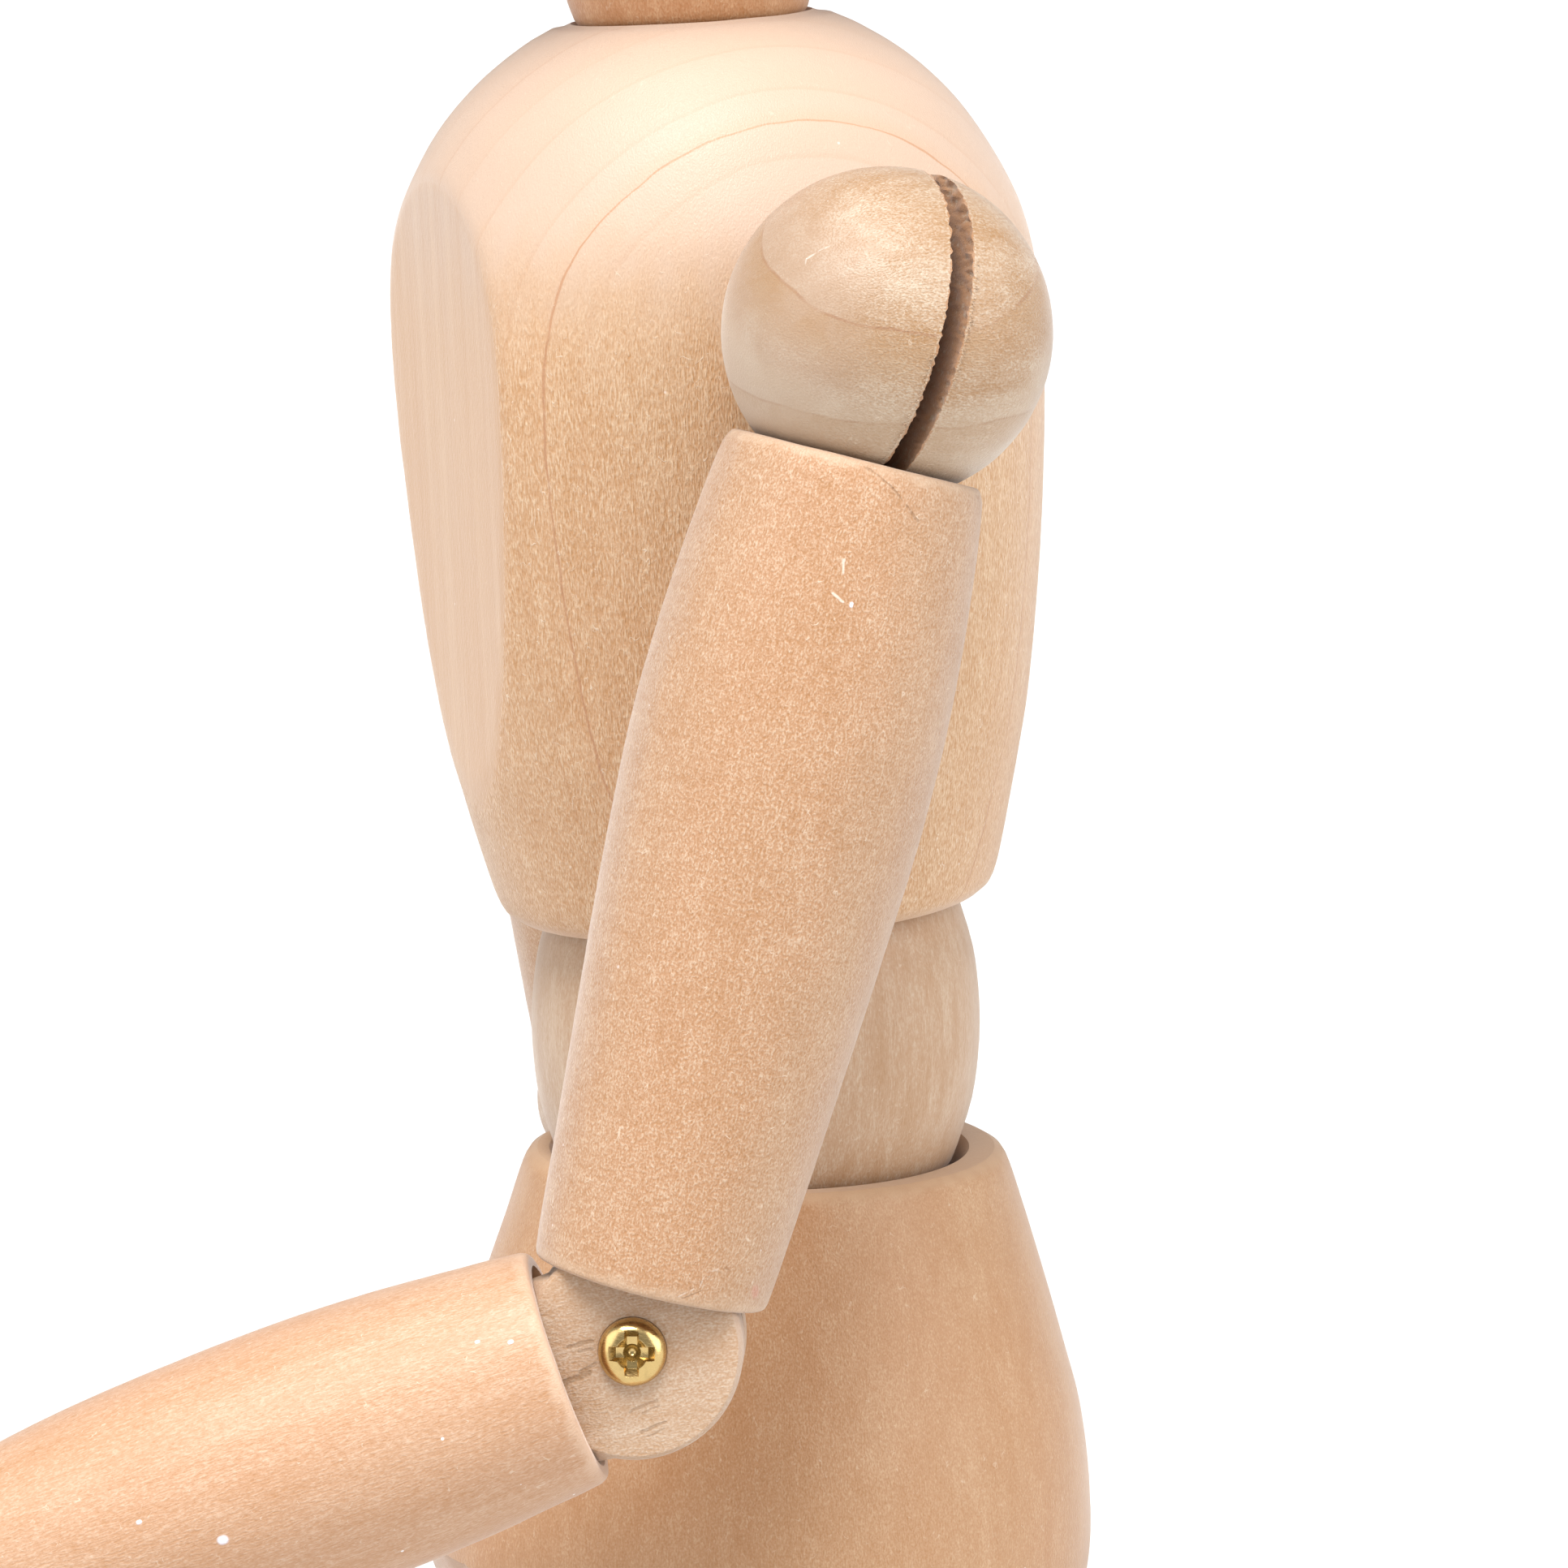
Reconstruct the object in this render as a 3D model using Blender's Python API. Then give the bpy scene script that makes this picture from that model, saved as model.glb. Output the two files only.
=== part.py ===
"""A jointed wooden artist's mannequin on a rod stand.

The figure faces -Y and its left side is +X. The origin is the centre of the stand's underside.
Lengths below are in millimetres and angles in degrees; meshes are built in metres.
"""

import math

import bmesh
import bpy
from mathutils import Matrix, Vector

MM = 0.001
GAP = 0.3  # clearance between neighbouring pieces

# Stand
BASE_RADIUS = 48.0
BASE_HEIGHT = 12.0
ROD_RADIUS = 2.25
ROD_FOOT = 3.5
ROD_TOP = 177.0
FIGURE_Y = -9.0  # the figure stands in front of the rod

# Heights of the joint centres above the table
HIP_Z = 168.0
WAIST_Z = 206.6
KNEE_DROP = 66.5
ANKLE_DROP = 64.0

# Trunk
WAIST_Y = -9.2
WAIST_BALL = 13.5
WAIST_BELT = [(11.1, 0), (11.65, 6.1), (12.2, 4.2), (12.5, 2.0), (12.6, 0)]  # radius, height
WAIST_GAP = 7.2  # from the waist centre to the rims of torso and pelvis
TORSO_LEAN = 3.8
TORSO_HEIGHT = 49.0
TORSO_FACET = 15.6  # from the axis to the flat front
PELVIS_SKEW = 0.4
NECK_BALL = 7.2
NECK_BELT = [(6.4, 0), (6.8, 1.9), (6.95, 0)]
NECK_GAP = 3.5
HEAD_HEIGHT = 36.5

# Arms
SHOULDER_X = 26.2
SHOULDER_LEVEL = 33.6
SHOULDER_BALL = 8.5
UPPER_ARM_TOP = 6.6
UPPER_ARM_END = 50.35
ELBOW_DROP = 53.55
WRIST_DROP = 41.5
ARM_SWING = {1: 15.0, -1: -9.0}
ARM_LIFT = {1: 0.0, -1: 9.0}
ARM_TWIST = {1: 23.0, -1: 8.0}
ELBOW_BEND = {1: 56.0, -1: 6.0}
WRIST_BALL = 4.3

# Legs
HIP_X = 12.3
HIP_BALL = 8.0
THIGH_TOP = 6.0
ANKLE_BALL = 4.8

# Saw kerfs, pins and links of the shoulder and hip balls
KERF = 1.2
PIN_RADIUS = 0.5
PIN_LENGTH = 7.0
LINK_WIRE = 0.28
LINK_EYE = 1.35

# Half knuckles: disc radius, trimming ball, half thickness, shank radius
ELBOW = {"disc": 5.65, "ball": 6.3, "half": 3.6, "shank": 2.2, "head": 1.75}
KNEE = {"disc": 6.4, "ball": 7.2, "half": 4.0, "shank": 2.6, "head": 2.0}

MATERIALS = {
    "wood": ((0.72, 0.52, 0.34), 0.55, 0.0),
    "brass": ((0.78, 0.57, 0.25), 0.25, 1.0),
    "steel": ((0.60, 0.60, 0.61), 0.30, 1.0),
}
WOOD_TONES = {
    "torso": (0.76, 0.59, 0.41),
    "upper_arm_l": (0.75, 0.51, 0.35),
    "forearm_l": (0.80, 0.62, 0.42),
    "shoulder_ball_l": (0.58, 0.43, 0.31),
    "waist_barrel": (0.62, 0.48, 0.34),
    "pelvis": (0.70, 0.49, 0.32),
}


def clear_scene():
    for obj in list(bpy.data.objects):
        bpy.data.objects.remove(obj, do_unlink=True)


def material(kind, name):
    """Each piece gets its own material."""
    color, roughness, metallic = MATERIALS[kind]
    if kind == "wood":
        color = WOOD_TONES.get(name, color)
    mat = bpy.data.materials.new("mat_" + name)
    mat.use_nodes = True
    shader = mat.node_tree.nodes["Principled BSDF"]
    shader.inputs["Base Color"].default_value = (*color, 1.0)
    shader.inputs["Roughness"].default_value = roughness
    shader.inputs["Metallic"].default_value = metallic
    mat.diffuse_color = (*color, 1.0)
    return mat


def new_object(name, bm):
    bmesh.ops.recalc_face_normals(bm, faces=bm.faces)
    mesh = bpy.data.meshes.new(name)
    bm.to_mesh(mesh)
    bm.free()
    obj = bpy.data.objects.new(name, mesh)
    bpy.context.scene.collection.objects.link(obj)
    return obj


def finish(obj, kind, frame, sharp=35.0):
    """Material, smooth shading and place."""
    obj.data.materials.clear()
    obj.data.materials.append(material(kind, obj.name))
    obj.data.shade_smooth()
    obj.data.set_sharp_from_angle(angle=math.radians(sharp))
    obj.matrix_world = frame
    return obj


# ---------------------------------------------------------------- placing


def move(x=0.0, y=0.0, z=0.0):
    return Matrix.Translation(Vector((x, y, z)) * MM)


def turn(degrees, axis):
    return Matrix.Rotation(math.radians(degrees), 4, axis)


# ---------------------------------------------------------------- solids


def ring_loft(name, rings, closed=False):
    """A skin over rings of equal length; a ring of one point closes an end as a pole."""
    bm = bmesh.new()
    rows = [[bm.verts.new(Vector(p) * MM) for p in ring] for ring in rings]
    pairs = list(zip(rows, rows[1:]))
    if closed:
        pairs.append((rows[-1], rows[0]))
    for low, high in pairs:
        count = max(len(low), len(high))
        for i in range(count):
            j = (i + 1) % count
            corners = [low[i % len(low)], low[j % len(low)]]
            corners += [high[j % len(high)], high[i % len(high)]]
            face = list(dict.fromkeys(corners))
            if len(face) > 2:
                bm.faces.new(face)
    if not closed:
        for row in (rows[0], rows[-1]):
            if len(row) > 2:
                bm.faces.new(row)
    return new_object(name, bm)


def ring(radius, z, segments, sx=1.0, sy=1.0, cy=0.0):
    if radius == 0:
        return [(0, cy, z)]
    step = 2 * math.pi / segments
    points = []
    for i in range(segments):
        a = (i + 0.5) * step
        points.append((radius * sx * math.cos(a), cy + radius * sy * math.sin(a), z))
    return points


def turned(name, profile, segments, closed=False):
    """A piece turned on the lathe: profile rows are (radius, height) or with sx, sy, cy too."""
    return ring_loft(name, [ring(p[0], p[1], segments, *p[2:]) for p in profile], closed)


def cap_arc(ball, centre, r_from, r_to, steps, up):
    """Profile points on a ball about the axis, between two radii. up: +1 upper half, -1 lower."""
    points = []
    for i in range(steps + 1):
        r = r_from + (r_to - r_from) * i / steps
        points.append((r, centre + up * math.sqrt(max(ball * ball - r * r, 0.0))))
    return points


def ball_profile(radius, rings):
    points = [(0, -radius)]
    for i in range(1, rings):
        a = math.pi * i / rings
        points.append((radius * math.sin(a), -radius * math.cos(a)))
    return points + [(0, radius)]


def ball(name, radius, segments=20, rings=10, at=(0, 0, 0)):
    obj = turned(name, ball_profile(radius, rings), segments)
    obj.data.transform(move(*at))
    return obj


def box(name, low, high):
    xs, ys, zs = zip(low, high)
    rings = [[(xs[0], ys[0], z), (xs[1], ys[0], z), (xs[1], ys[1], z), (xs[0], ys[1], z)] for z in zs]
    return ring_loft(name, rings)


def rod(name, radius, low, high, segments, axis="Z"):
    """A plain bar along Z or X, from low to high."""
    obj = turned(name, [(radius, low), (radius, high)], segments)
    if axis == "X":
        obj.data.transform(turn(90, "Y"))
    if axis == "Y":
        obj.data.transform(turn(-90, "X"))
    return obj


def swept_wire(name, path, radius, sides):
    """A wire of round section along a path of points, with flat ends."""
    points = [Vector(p) for p in path]
    rings = []
    normal = None
    for i, p in enumerate(points):
        ahead = points[min(i + 1, len(points) - 1)]
        behind = points[max(i - 1, 0)]
        along = (ahead - behind).normalized()
        if normal is None:
            normal = along.orthogonal().normalized()
        normal = (normal - along * normal.dot(along)).normalized()
        other = along.cross(normal)
        section = []
        for k in range(sides):
            a = 2 * math.pi * k / sides
            section.append(p + radius * (math.cos(a) * normal + math.sin(a) * other))
        rings.append(section)
    return ring_loft(name, rings)


def spring(name, coil, wire, low, high, turns, axis="Z"):
    steps = 8 * turns
    path = []
    for i in range(steps + 1):
        a = 2 * math.pi * i / 8
        path.append((coil * math.cos(a), coil * math.sin(a), low + (high - low) * i / steps))
    obj = swept_wire(name, path, wire, 4)
    if axis == "X":
        obj.data.transform(turn(90, "Y"))
    return obj


def shape(target, operation, tools):
    """Cuts, joins or intersects the target with the tools, which are used up."""
    for tool in tools:
        modifier = target.modifiers.new(operation, "BOOLEAN")
        modifier.operation = operation
        modifier.solver = "EXACT"
        modifier.object = tool
    bpy.context.view_layer.update()
    graph = bpy.context.evaluated_depsgraph_get()
    mesh = bpy.data.meshes.new_from_object(target.evaluated_get(graph))
    target.modifiers.clear()
    target.data = mesh
    mesh.name = target.name
    for tool in tools:
        bpy.data.objects.remove(tool, do_unlink=True)
    return target


def tidy_mesh(obj):
    """Welds the tiny edges that a cut can leave."""
    bm = bmesh.new()
    bm.from_mesh(obj.data)
    bmesh.ops.remove_doubles(bm, verts=bm.verts, dist=0.002 * MM)
    bmesh.ops.dissolve_degenerate(bm, edges=bm.edges, dist=0.001 * MM)
    bm.to_mesh(obj.data)
    bm.free()
    return obj


# ---------------------------------------------------------------- stand


def stand():
    r, h = BASE_RADIUS, BASE_HEIGHT
    hole = ROD_RADIUS + GAP
    profile = [(0, 0), (r - 1.0, 0), (r, 0.9), (r, h - 4.0), (r - 0.8, h - 1.8), (r - 2.6, h - 0.4)]
    profile += [(r - 4.5, h), (hole, h), (hole, ROD_FOOT - GAP), (0, ROD_FOOT - GAP)]
    finish(turned("base_disc", profile, 36), "wood", move())
    c = 0.5
    profile = [(0, ROD_FOOT), (ROD_RADIUS - c, ROD_FOOT), (ROD_RADIUS, ROD_FOOT + c)]
    profile += [(ROD_RADIUS, ROD_TOP - c), (ROD_RADIUS - c, ROD_TOP), (0, ROD_TOP)]
    finish(turned("stand_rod", profile, 16), "steel", move())


# ---------------------------------------------------------------- trunk


def waist_frame():
    return move(0, WAIST_Y, WAIST_Z)


def torso_frame():
    """At the waist centre, leaning forward."""
    return waist_frame() @ turn(TORSO_LEAN, "X")


def neck_frame():
    return torso_frame() @ move(0, 0, WAIST_GAP + TORSO_HEIGHT + NECK_GAP)


def link_ball(name, radius, belt, bore, segments):
    """A turned ball with a slightly reduced belt, rows of (radius, height), and a bore."""
    side = []
    start = math.asin(bore / radius)
    stop = math.asin(belt[0][0] / radius)
    steps = 4 if radius > 6 else 3
    for i in range(steps + 1):
        a = start + (stop - start) * i / steps
        side.append((radius * math.sin(a), -radius * math.cos(a)))
    profile = [(bore, 0), *side, *[(r, -z) for r, z in belt[1:]]]
    profile += [(r, z) for r, z in reversed(belt[1:]) if z > 0]
    profile += [(r, -z) for r, z in reversed(side)]
    return turned(name, profile, segments, closed=True)


def trunk():
    pelvis()
    barrel = link_ball("waist_barrel", WAIST_BALL, WAIST_BELT, 2.5, 26)
    finish(barrel, "wood", waist_frame())
    finish(spring("waist_spring", 1.7, 0.35, -12.0, 12.0, 8), "steel", waist_frame())
    torso()
    barrel = link_ball("neck_barrel", NECK_BALL, NECK_BELT, 1.6, 18)
    finish(barrel, "wood", neck_frame())
    finish(spring("neck_spring", 0.95, 0.25, -6.2, 6.2, 6), "steel", neck_frame())
    head()


def torso():
    """The origin is the waist centre; the torso's bottom rim is WAIST_GAP above it."""
    z = WAIST_GAP
    top = z + TORSO_HEIGHT
    seat = WAIST_BALL + GAP
    neck_seat = NECK_BALL + GAP
    neck_z = top + NECK_GAP
    rim = math.sqrt(seat * seat - z * z)
    neck_rim = math.sqrt(neck_seat * neck_seat - NECK_GAP * NECK_GAP)
    hook = 1.6
    profile = [(0, z + 12.0), (hook, z + 12.0)]
    profile += cap_arc(seat, 0.0, hook, rim, 4, 1)
    profile += [(13.2, z), (13.8, z + 0.6), (14.2, z + 2.0)]
    side = [(15.25, 6.0), (16.25, 10.5), (17.2, 17.0), (17.95, 24.5), (18.25, 30.0), (18.1, 34.0)]
    side += [(17.4, 37.6), (16.0, 40.8), (14.1, 43.8), (11.75, 46.2), (9.2, 48.0), (7.6, 48.8)]
    profile += [(r, z + level) for r, level in side]
    profile += cap_arc(neck_seat, neck_z, neck_rim, hook, 3, -1)
    profile += [(hook, top - 12.0), (0, top - 12.0)]
    body = turned("torso", profile, 26)
    block = box("facet", (-30, -60, -10), (30, -TORSO_FACET, 80))
    level = z + SHOULDER_LEVEL
    tools = [block]
    for side_x in (-SHOULDER_X, SHOULDER_X):
        tools.append(ball("seat", SHOULDER_BALL + GAP, 20, 12, (side_x, 0, level)))
    bore = rod("bore", 1.9, -21, 21, 12, "X")
    bore.data.transform(move(0, 0, level))
    tools.append(bore)
    body = tidy_mesh(shape(body, "DIFFERENCE", tools))
    finish(body, "wood", torso_frame(), 30)
    coil = spring("shoulder_spring", 1.2, 0.28, -15.5, 15.5, 9, "X")
    finish(coil, "steel", torso_frame() @ move(0, 0, level))


def pelvis_shift(level):
    """How far back the outline lies at a level below the rim: the block is turned a little askew."""
    return PELVIS_SKEW * min(1.0, max(0.0, 1.25 + level / 16.0))


def pelvis():
    """The origin is on the rod's axis, level with the pelvis rim."""
    rim_z = WAIST_Z - WAIST_GAP
    seat = WAIST_BALL + GAP + 0.06
    rim = math.sqrt(seat * seat - WAIST_GAP * WAIST_GAP)
    side = [(10.5, -33.9), (13.4, -32.7), (16.0, -30.3), (17.8, -27.4), (18.75, -23.5), (18.75, -19.5)]
    side += [(18.1, -15.0), (17.1, -11.5), (15.9, -7.6), (14.6, -3.6), (13.55, -0.8), (13.2, -0.25)]
    profile = [(0, -34.0)]
    for r, h in [*side, (12.7, 0.0)]:
        profile.append((r, h, 1, 1, pelvis_shift(h)))
    profile += cap_arc(seat, WAIST_GAP, rim, 1.6, 4, -1)
    profile += [(1.6, -14.0), (0, -14.0)]
    body = turned("pelvis", profile, 26)
    body.data.transform(move(0, FIGURE_Y, 0))
    hip = HIP_Z - rim_z
    relief = box("relief", (-30, -40, -60), (30, 0, 40))
    relief.data.transform(move(0, FIGURE_Y - 18.6, -21.7) @ turn(27, "X") @ move(0, 0, -40))
    tools = [relief, rod("hole", ROD_RADIUS + GAP, -60, ROD_TOP + GAP - rim_z, 16)]
    for x in (-HIP_X, HIP_X):
        tools.append(ball("seat", HIP_BALL + GAP, 20, 10, (x, FIGURE_Y, hip)))
        notch = leg_notch(math.copysign(1, x))
        notch.data.transform(move(x, FIGURE_Y, hip))
        tools.append(notch)
    bore = rod("bore", 1.6, -9, 9, 10, "X")
    bore.data.transform(move(0, FIGURE_Y, hip))
    tools.append(bore)
    body = tidy_mesh(shape(body, "DIFFERENCE", tools))
    finish(body, "wood", move(0, 0, rim_z), 30)
    coil = spring("hip_spring", 0.95, 0.25, -3.0, 3.0, 3, "X")
    finish(coil, "steel", move(0, FIGURE_Y, HIP_Z))


def leg_notch(side):
    """The room that the top of a thigh needs to swing forward: a sector about the hip's X axis."""
    inner, outer = -9.2, 16.0
    rays = [(angle, 10.3) for angle in range(-60, 0, 15)] + [(-12, 12.0), (-8, 30.0), (45, 45.0)]
    rays += [(95, 30.0), (102, 19.0), (110, 14.5), (118, 11.8), (127, 10.3)]
    section = [(0.0, 0.0)]
    for angle, reach in rays:
        a = math.radians(angle)
        section.append((-reach * math.sin(a), -reach * math.cos(a)))
    return ring_loft("notch", [[(side * x, y, z) for y, z in section] for x in (inner, outer)])


def head():
    """A plain egg-shaped head, seated on the neck barrel."""
    seat = NECK_BALL + GAP
    rim = math.sqrt(seat * seat - NECK_GAP * NECK_GAP)
    rows = [(7.4, 0.0, 0.0), (9.3, 1.2, 0.1), (11.2, 4.0, 0.4), (12.7, 8.5, 0.8), (13.9, 14.0, 1.0)]
    rows += [(14.4, 20.0, 1.0), (13.9, 25.5, 1.0), (12.2, 30.3, 1.0), (9.2, 33.9, 1.0)]
    rows += [(4.8, 36.0, 1.0)]
    profile = [(0, 12.0), (1.6, 12.0)]
    profile += cap_arc(seat, 0.0, 1.6, rim, 3, 1)
    for r, z, blend in rows:
        profile.append((r, z + NECK_GAP, 1 - 0.09 * blend, 1 + 0.05 * blend, -0.9 * blend))
    profile.append((0, HEAD_HEIGHT + NECK_GAP, 1, 1, -0.9))
    finish(turned("head", profile, 22), "wood", neck_frame())


# ---------------------------------------------------------------- limbs


def limb(name, top, bottom, side, frame, segments=18):
    """A turned limb along -Z from its upper joint centre.

    top and bottom are (rim distance, seat radius, seat centre, bore radius, bore depth) and side is
    the outer profile from top to bottom, as (radius, distance).
    """
    profile = []
    for edge, seat, centre, bore, depth in (top, bottom):
        rim = math.sqrt(seat * seat - (edge - centre) ** 2)
        facing = -1 if edge > centre else 1
        points = [(0, -depth), (bore, -depth)] + cap_arc(seat, -centre, bore, rim, 3, facing)
        profile.append(points)
    outer = [(r, -d) for r, d in side]
    rows = profile[0] + outer + list(reversed(profile[1]))
    return finish(turned(name, rows, segments), "wood", frame, 38)


def slotted_ball(name, radius, side, frame):
    """A ball with a saw kerf open to its lower, outer and upper side, and a blind cross hole."""
    obj = ball(name, radius, 20, 10)
    low, high = sorted((side * -2.4, side * (radius + 2)))
    kerf = box("kerf", (low, -KERF / 2, -radius - 2), (high, KERF / 2, radius + 2))
    hole = rod("hole", PIN_RADIUS + GAP, -PIN_LENGTH / 2 - GAP, PIN_LENGTH / 2 + GAP, 10, "Y")
    shape(obj, "DIFFERENCE", [kerf, hole])
    return finish(tidy_mesh(obj), "wood", frame, 30)


def pin_and_link(limb_name, ball_frame, limb_frame, reach):
    """The pin across the kerf, and the wire eye on it that holds the limb."""
    suffix = limb_name[-2:]
    kind = limb_name[:-2]
    pin = rod(kind + "_pin" + suffix, PIN_RADIUS, -PIN_LENGTH / 2, PIN_LENGTH / 2, 10, "Y")
    finish(pin, "steel", ball_frame)
    path = [(0, 0, -reach), (0, 0, -LINK_EYE - 1.0)]
    for angle in range(-90, 196, 22):
        a = math.radians(angle)
        path.append((LINK_EYE * math.cos(a), 0, LINK_EYE * math.sin(a)))
    link = swept_wire(kind + "_link" + suffix, path, LINK_WIRE, 6)
    finish(link, "steel", limb_frame)


def half_knuckle(name, size, side, up, frame, drop, edge):
    """One half of a knuckle: side is where its disc lies on X, up is where its shank goes on Z.

    A square tab carries the disc on to the limb's rim, edge away from the joint centre.
    """
    disc, trim, half, shank = size["disc"], size["ball"], size["half"], size["shank"]
    low, high = sorted((side * GAP / 2, side * half))
    obj = rod(name, disc, low, high, 20, "X")
    shape(obj, "INTERSECT", [ball("trim", trim, 16, 10)])
    start, stop = trim + GAP + 0.1, drop
    neck = rod("neck", shank - 0.25, 1.5, start + 0.5, 10)
    near, far = sorted((side * (GAP / 2 + 0.12), side * (half + 1)))
    shape(neck, "INTERSECT", [box("keep", (near, -8, 0), (far, 8, 20))])
    peg = turned("peg", [(shank, start), (shank, stop - 0.6), (shank - 0.6, stop)], 12)
    near, far = sorted((side * (GAP / 2 + 0.02), side * (half - 0.02)))
    wide = disc - 0.75
    tab = box("tab", (near, -wide, 0.8), (far, wide, edge - GAP))
    if up < 0:
        for part in (neck, peg, tab):
            part.data.transform(turn(180, "X"))
    shape(obj, "UNION", [tab, neck, peg])
    bore = 1.0 + GAP
    if up > 0:
        reach = sorted((side * -1.0, side * 2.9))
    else:
        reach = sorted((side * -1.0, side * (half + 1)))
    shape(obj, "DIFFERENCE", [rod("bore", bore, *reach, 10, "X")])
    return finish(tidy_mesh(obj), "wood", frame, 30)


def pan_screw(name, size, side, frame):
    """A pan-head screw on X: its head on the outer half, its thread end in the inner half."""
    start = size["half"] + 0.2
    r = size["head"]
    profile = [(0, -2.5), (0.7, -2.5), (1.0, -2.1), (1.0, start), (r - 0.1, start), (r, start + 0.15)]
    profile += [(r, start + 0.55), (r - 0.35, start + 0.95), (r - 0.9, start + 1.15), (0, start + 1.2)]
    obj = turned(name, profile, 14)
    arm, slot, depth = r * 0.56, 0.19, start + 0.55
    cross = [box("slot", (-arm, -slot, depth), (arm, slot, start + 3))]
    cross.append(box("slot", (-slot, -arm, depth), (slot, arm, start + 3)))
    for tool in cross:
        tool.data.transform(turn(14, "Z"))
    shape(obj, "DIFFERENCE", cross)
    obj.data.transform(turn(90 * side, "Y"))
    return finish(tidy_mesh(obj), "brass", frame, 30)


def arm(side):
    suffix = "_l" if side > 0 else "_r"
    shoulder = torso_frame() @ move(side * SHOULDER_X, 0, WAIST_GAP + SHOULDER_LEVEL)
    swung = shoulder @ turn(-ARM_SWING[side] - TORSO_LEAN, "X")
    upper = swung @ turn(-side * ARM_LIFT[side], "Y")
    slotted_ball("shoulder_ball" + suffix, SHOULDER_BALL, side, swung)
    pin_and_link("shoulder" + suffix, swung, upper, 13.0)
    seat = SHOULDER_BALL + GAP
    cup = ELBOW["ball"] + GAP
    profile = [(6.5, 6.6), (6.85, 7.3), (7.35, 11.0), (7.8, 16.0), (8.0, 21.0), (7.9, 26.0)]
    profile += [(7.55, 32.0), (7.1, 38.0), (6.65, 44.0), (6.3, 48.6), (6.15, 50.0), (6.05, 50.35)]
    top = (UPPER_ARM_TOP, seat, 0.0, 1.0, 14.0)
    bottom = (UPPER_ARM_END, cup, ELBOW_DROP, ELBOW["shank"] + GAP, ELBOW_DROP - 13.5)
    limb("upper_arm" + suffix, top, bottom, profile, upper)
    elbow = upper @ move(0, 0, -ELBOW_DROP) @ turn(-side * ARM_TWIST[side], "Z")
    lower = elbow @ turn(-ELBOW_BEND[side], "X")
    half_knuckle("elbow_inner" + suffix, ELBOW, -side, 1, elbow, 13.2, ELBOW_DROP - UPPER_ARM_END)
    half_knuckle("elbow_outer" + suffix, ELBOW, side, -1, lower, 13.2, 3.7)
    pan_screw("elbow_screw" + suffix, ELBOW, side, elbow)
    profile = [(6.1, 3.7), (6.3, 4.1), (6.6, 7.0), (6.95, 11.0), (7.15, 15.5), (7.15, 20.0)]
    profile += [(6.95, 25.5), (6.5, 31.0), (5.75, 36.0), (5.15, 38.8), (4.85, 39.5), (4.6, 39.7)]
    top = (3.7, cup, 0.0, ELBOW["shank"] + GAP, 13.5)
    bottom = (39.7, WRIST_BALL + GAP, WRIST_DROP, 0.9, 33.0)
    limb("forearm" + suffix, top, bottom, profile, lower)
    wrist = lower @ move(0, 0, -WRIST_DROP)
    finish(link_ball("wrist_ball" + suffix, WRIST_BALL, [(4.2, 0), (4.25, 0)], 0.8, 12), "wood", wrist)
    hand("hand" + suffix, wrist)


def hand(name, frame):
    """A mitten-shaped hand: thin across X, thumb forward."""
    seat = WRIST_BALL + GAP
    rim = math.sqrt(seat * seat - 1.8 * 1.8)
    profile = [(0, -9.0), (0.9, -9.0)] + cap_arc(seat, 0.0, 0.9, rim, 3, -1)
    profile += [(4.6, -1.9), (4.75, -2.6, 0.98, 0.98)]
    palm = [(4.9, -5.0, 0.86, 0.98), (5.3, -9.0, 0.66, 1.0), (5.9, -13.5, 0.53, 1.0)]
    palm += [(6.0, -17.5, 0.48, 1.0), (5.6, -21.5, 0.45, 1.0), (4.9, -25.5, 0.43, 1.0)]
    palm += [(3.9, -28.8, 0.42, 1.0), (2.2, -31.0, 0.42, 1.0)]
    profile += palm + [(0, -31.6)]
    obj = turned(name, profile, 14)
    thumb = [(1.3, 4.0), (1.9, 1.5), (2.0, -3.0), (1.7, -7.5), (1.2, -9.6)]
    thumb = turned("thumb", [(0, 4.8), *thumb, (0, -10.4)], 8)
    thumb.data.transform(move(0, -5.3, -10.5) @ turn(-24, "X"))
    shape(obj, "UNION", [thumb])
    return finish(tidy_mesh(obj), "wood", frame, 35)


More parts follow.
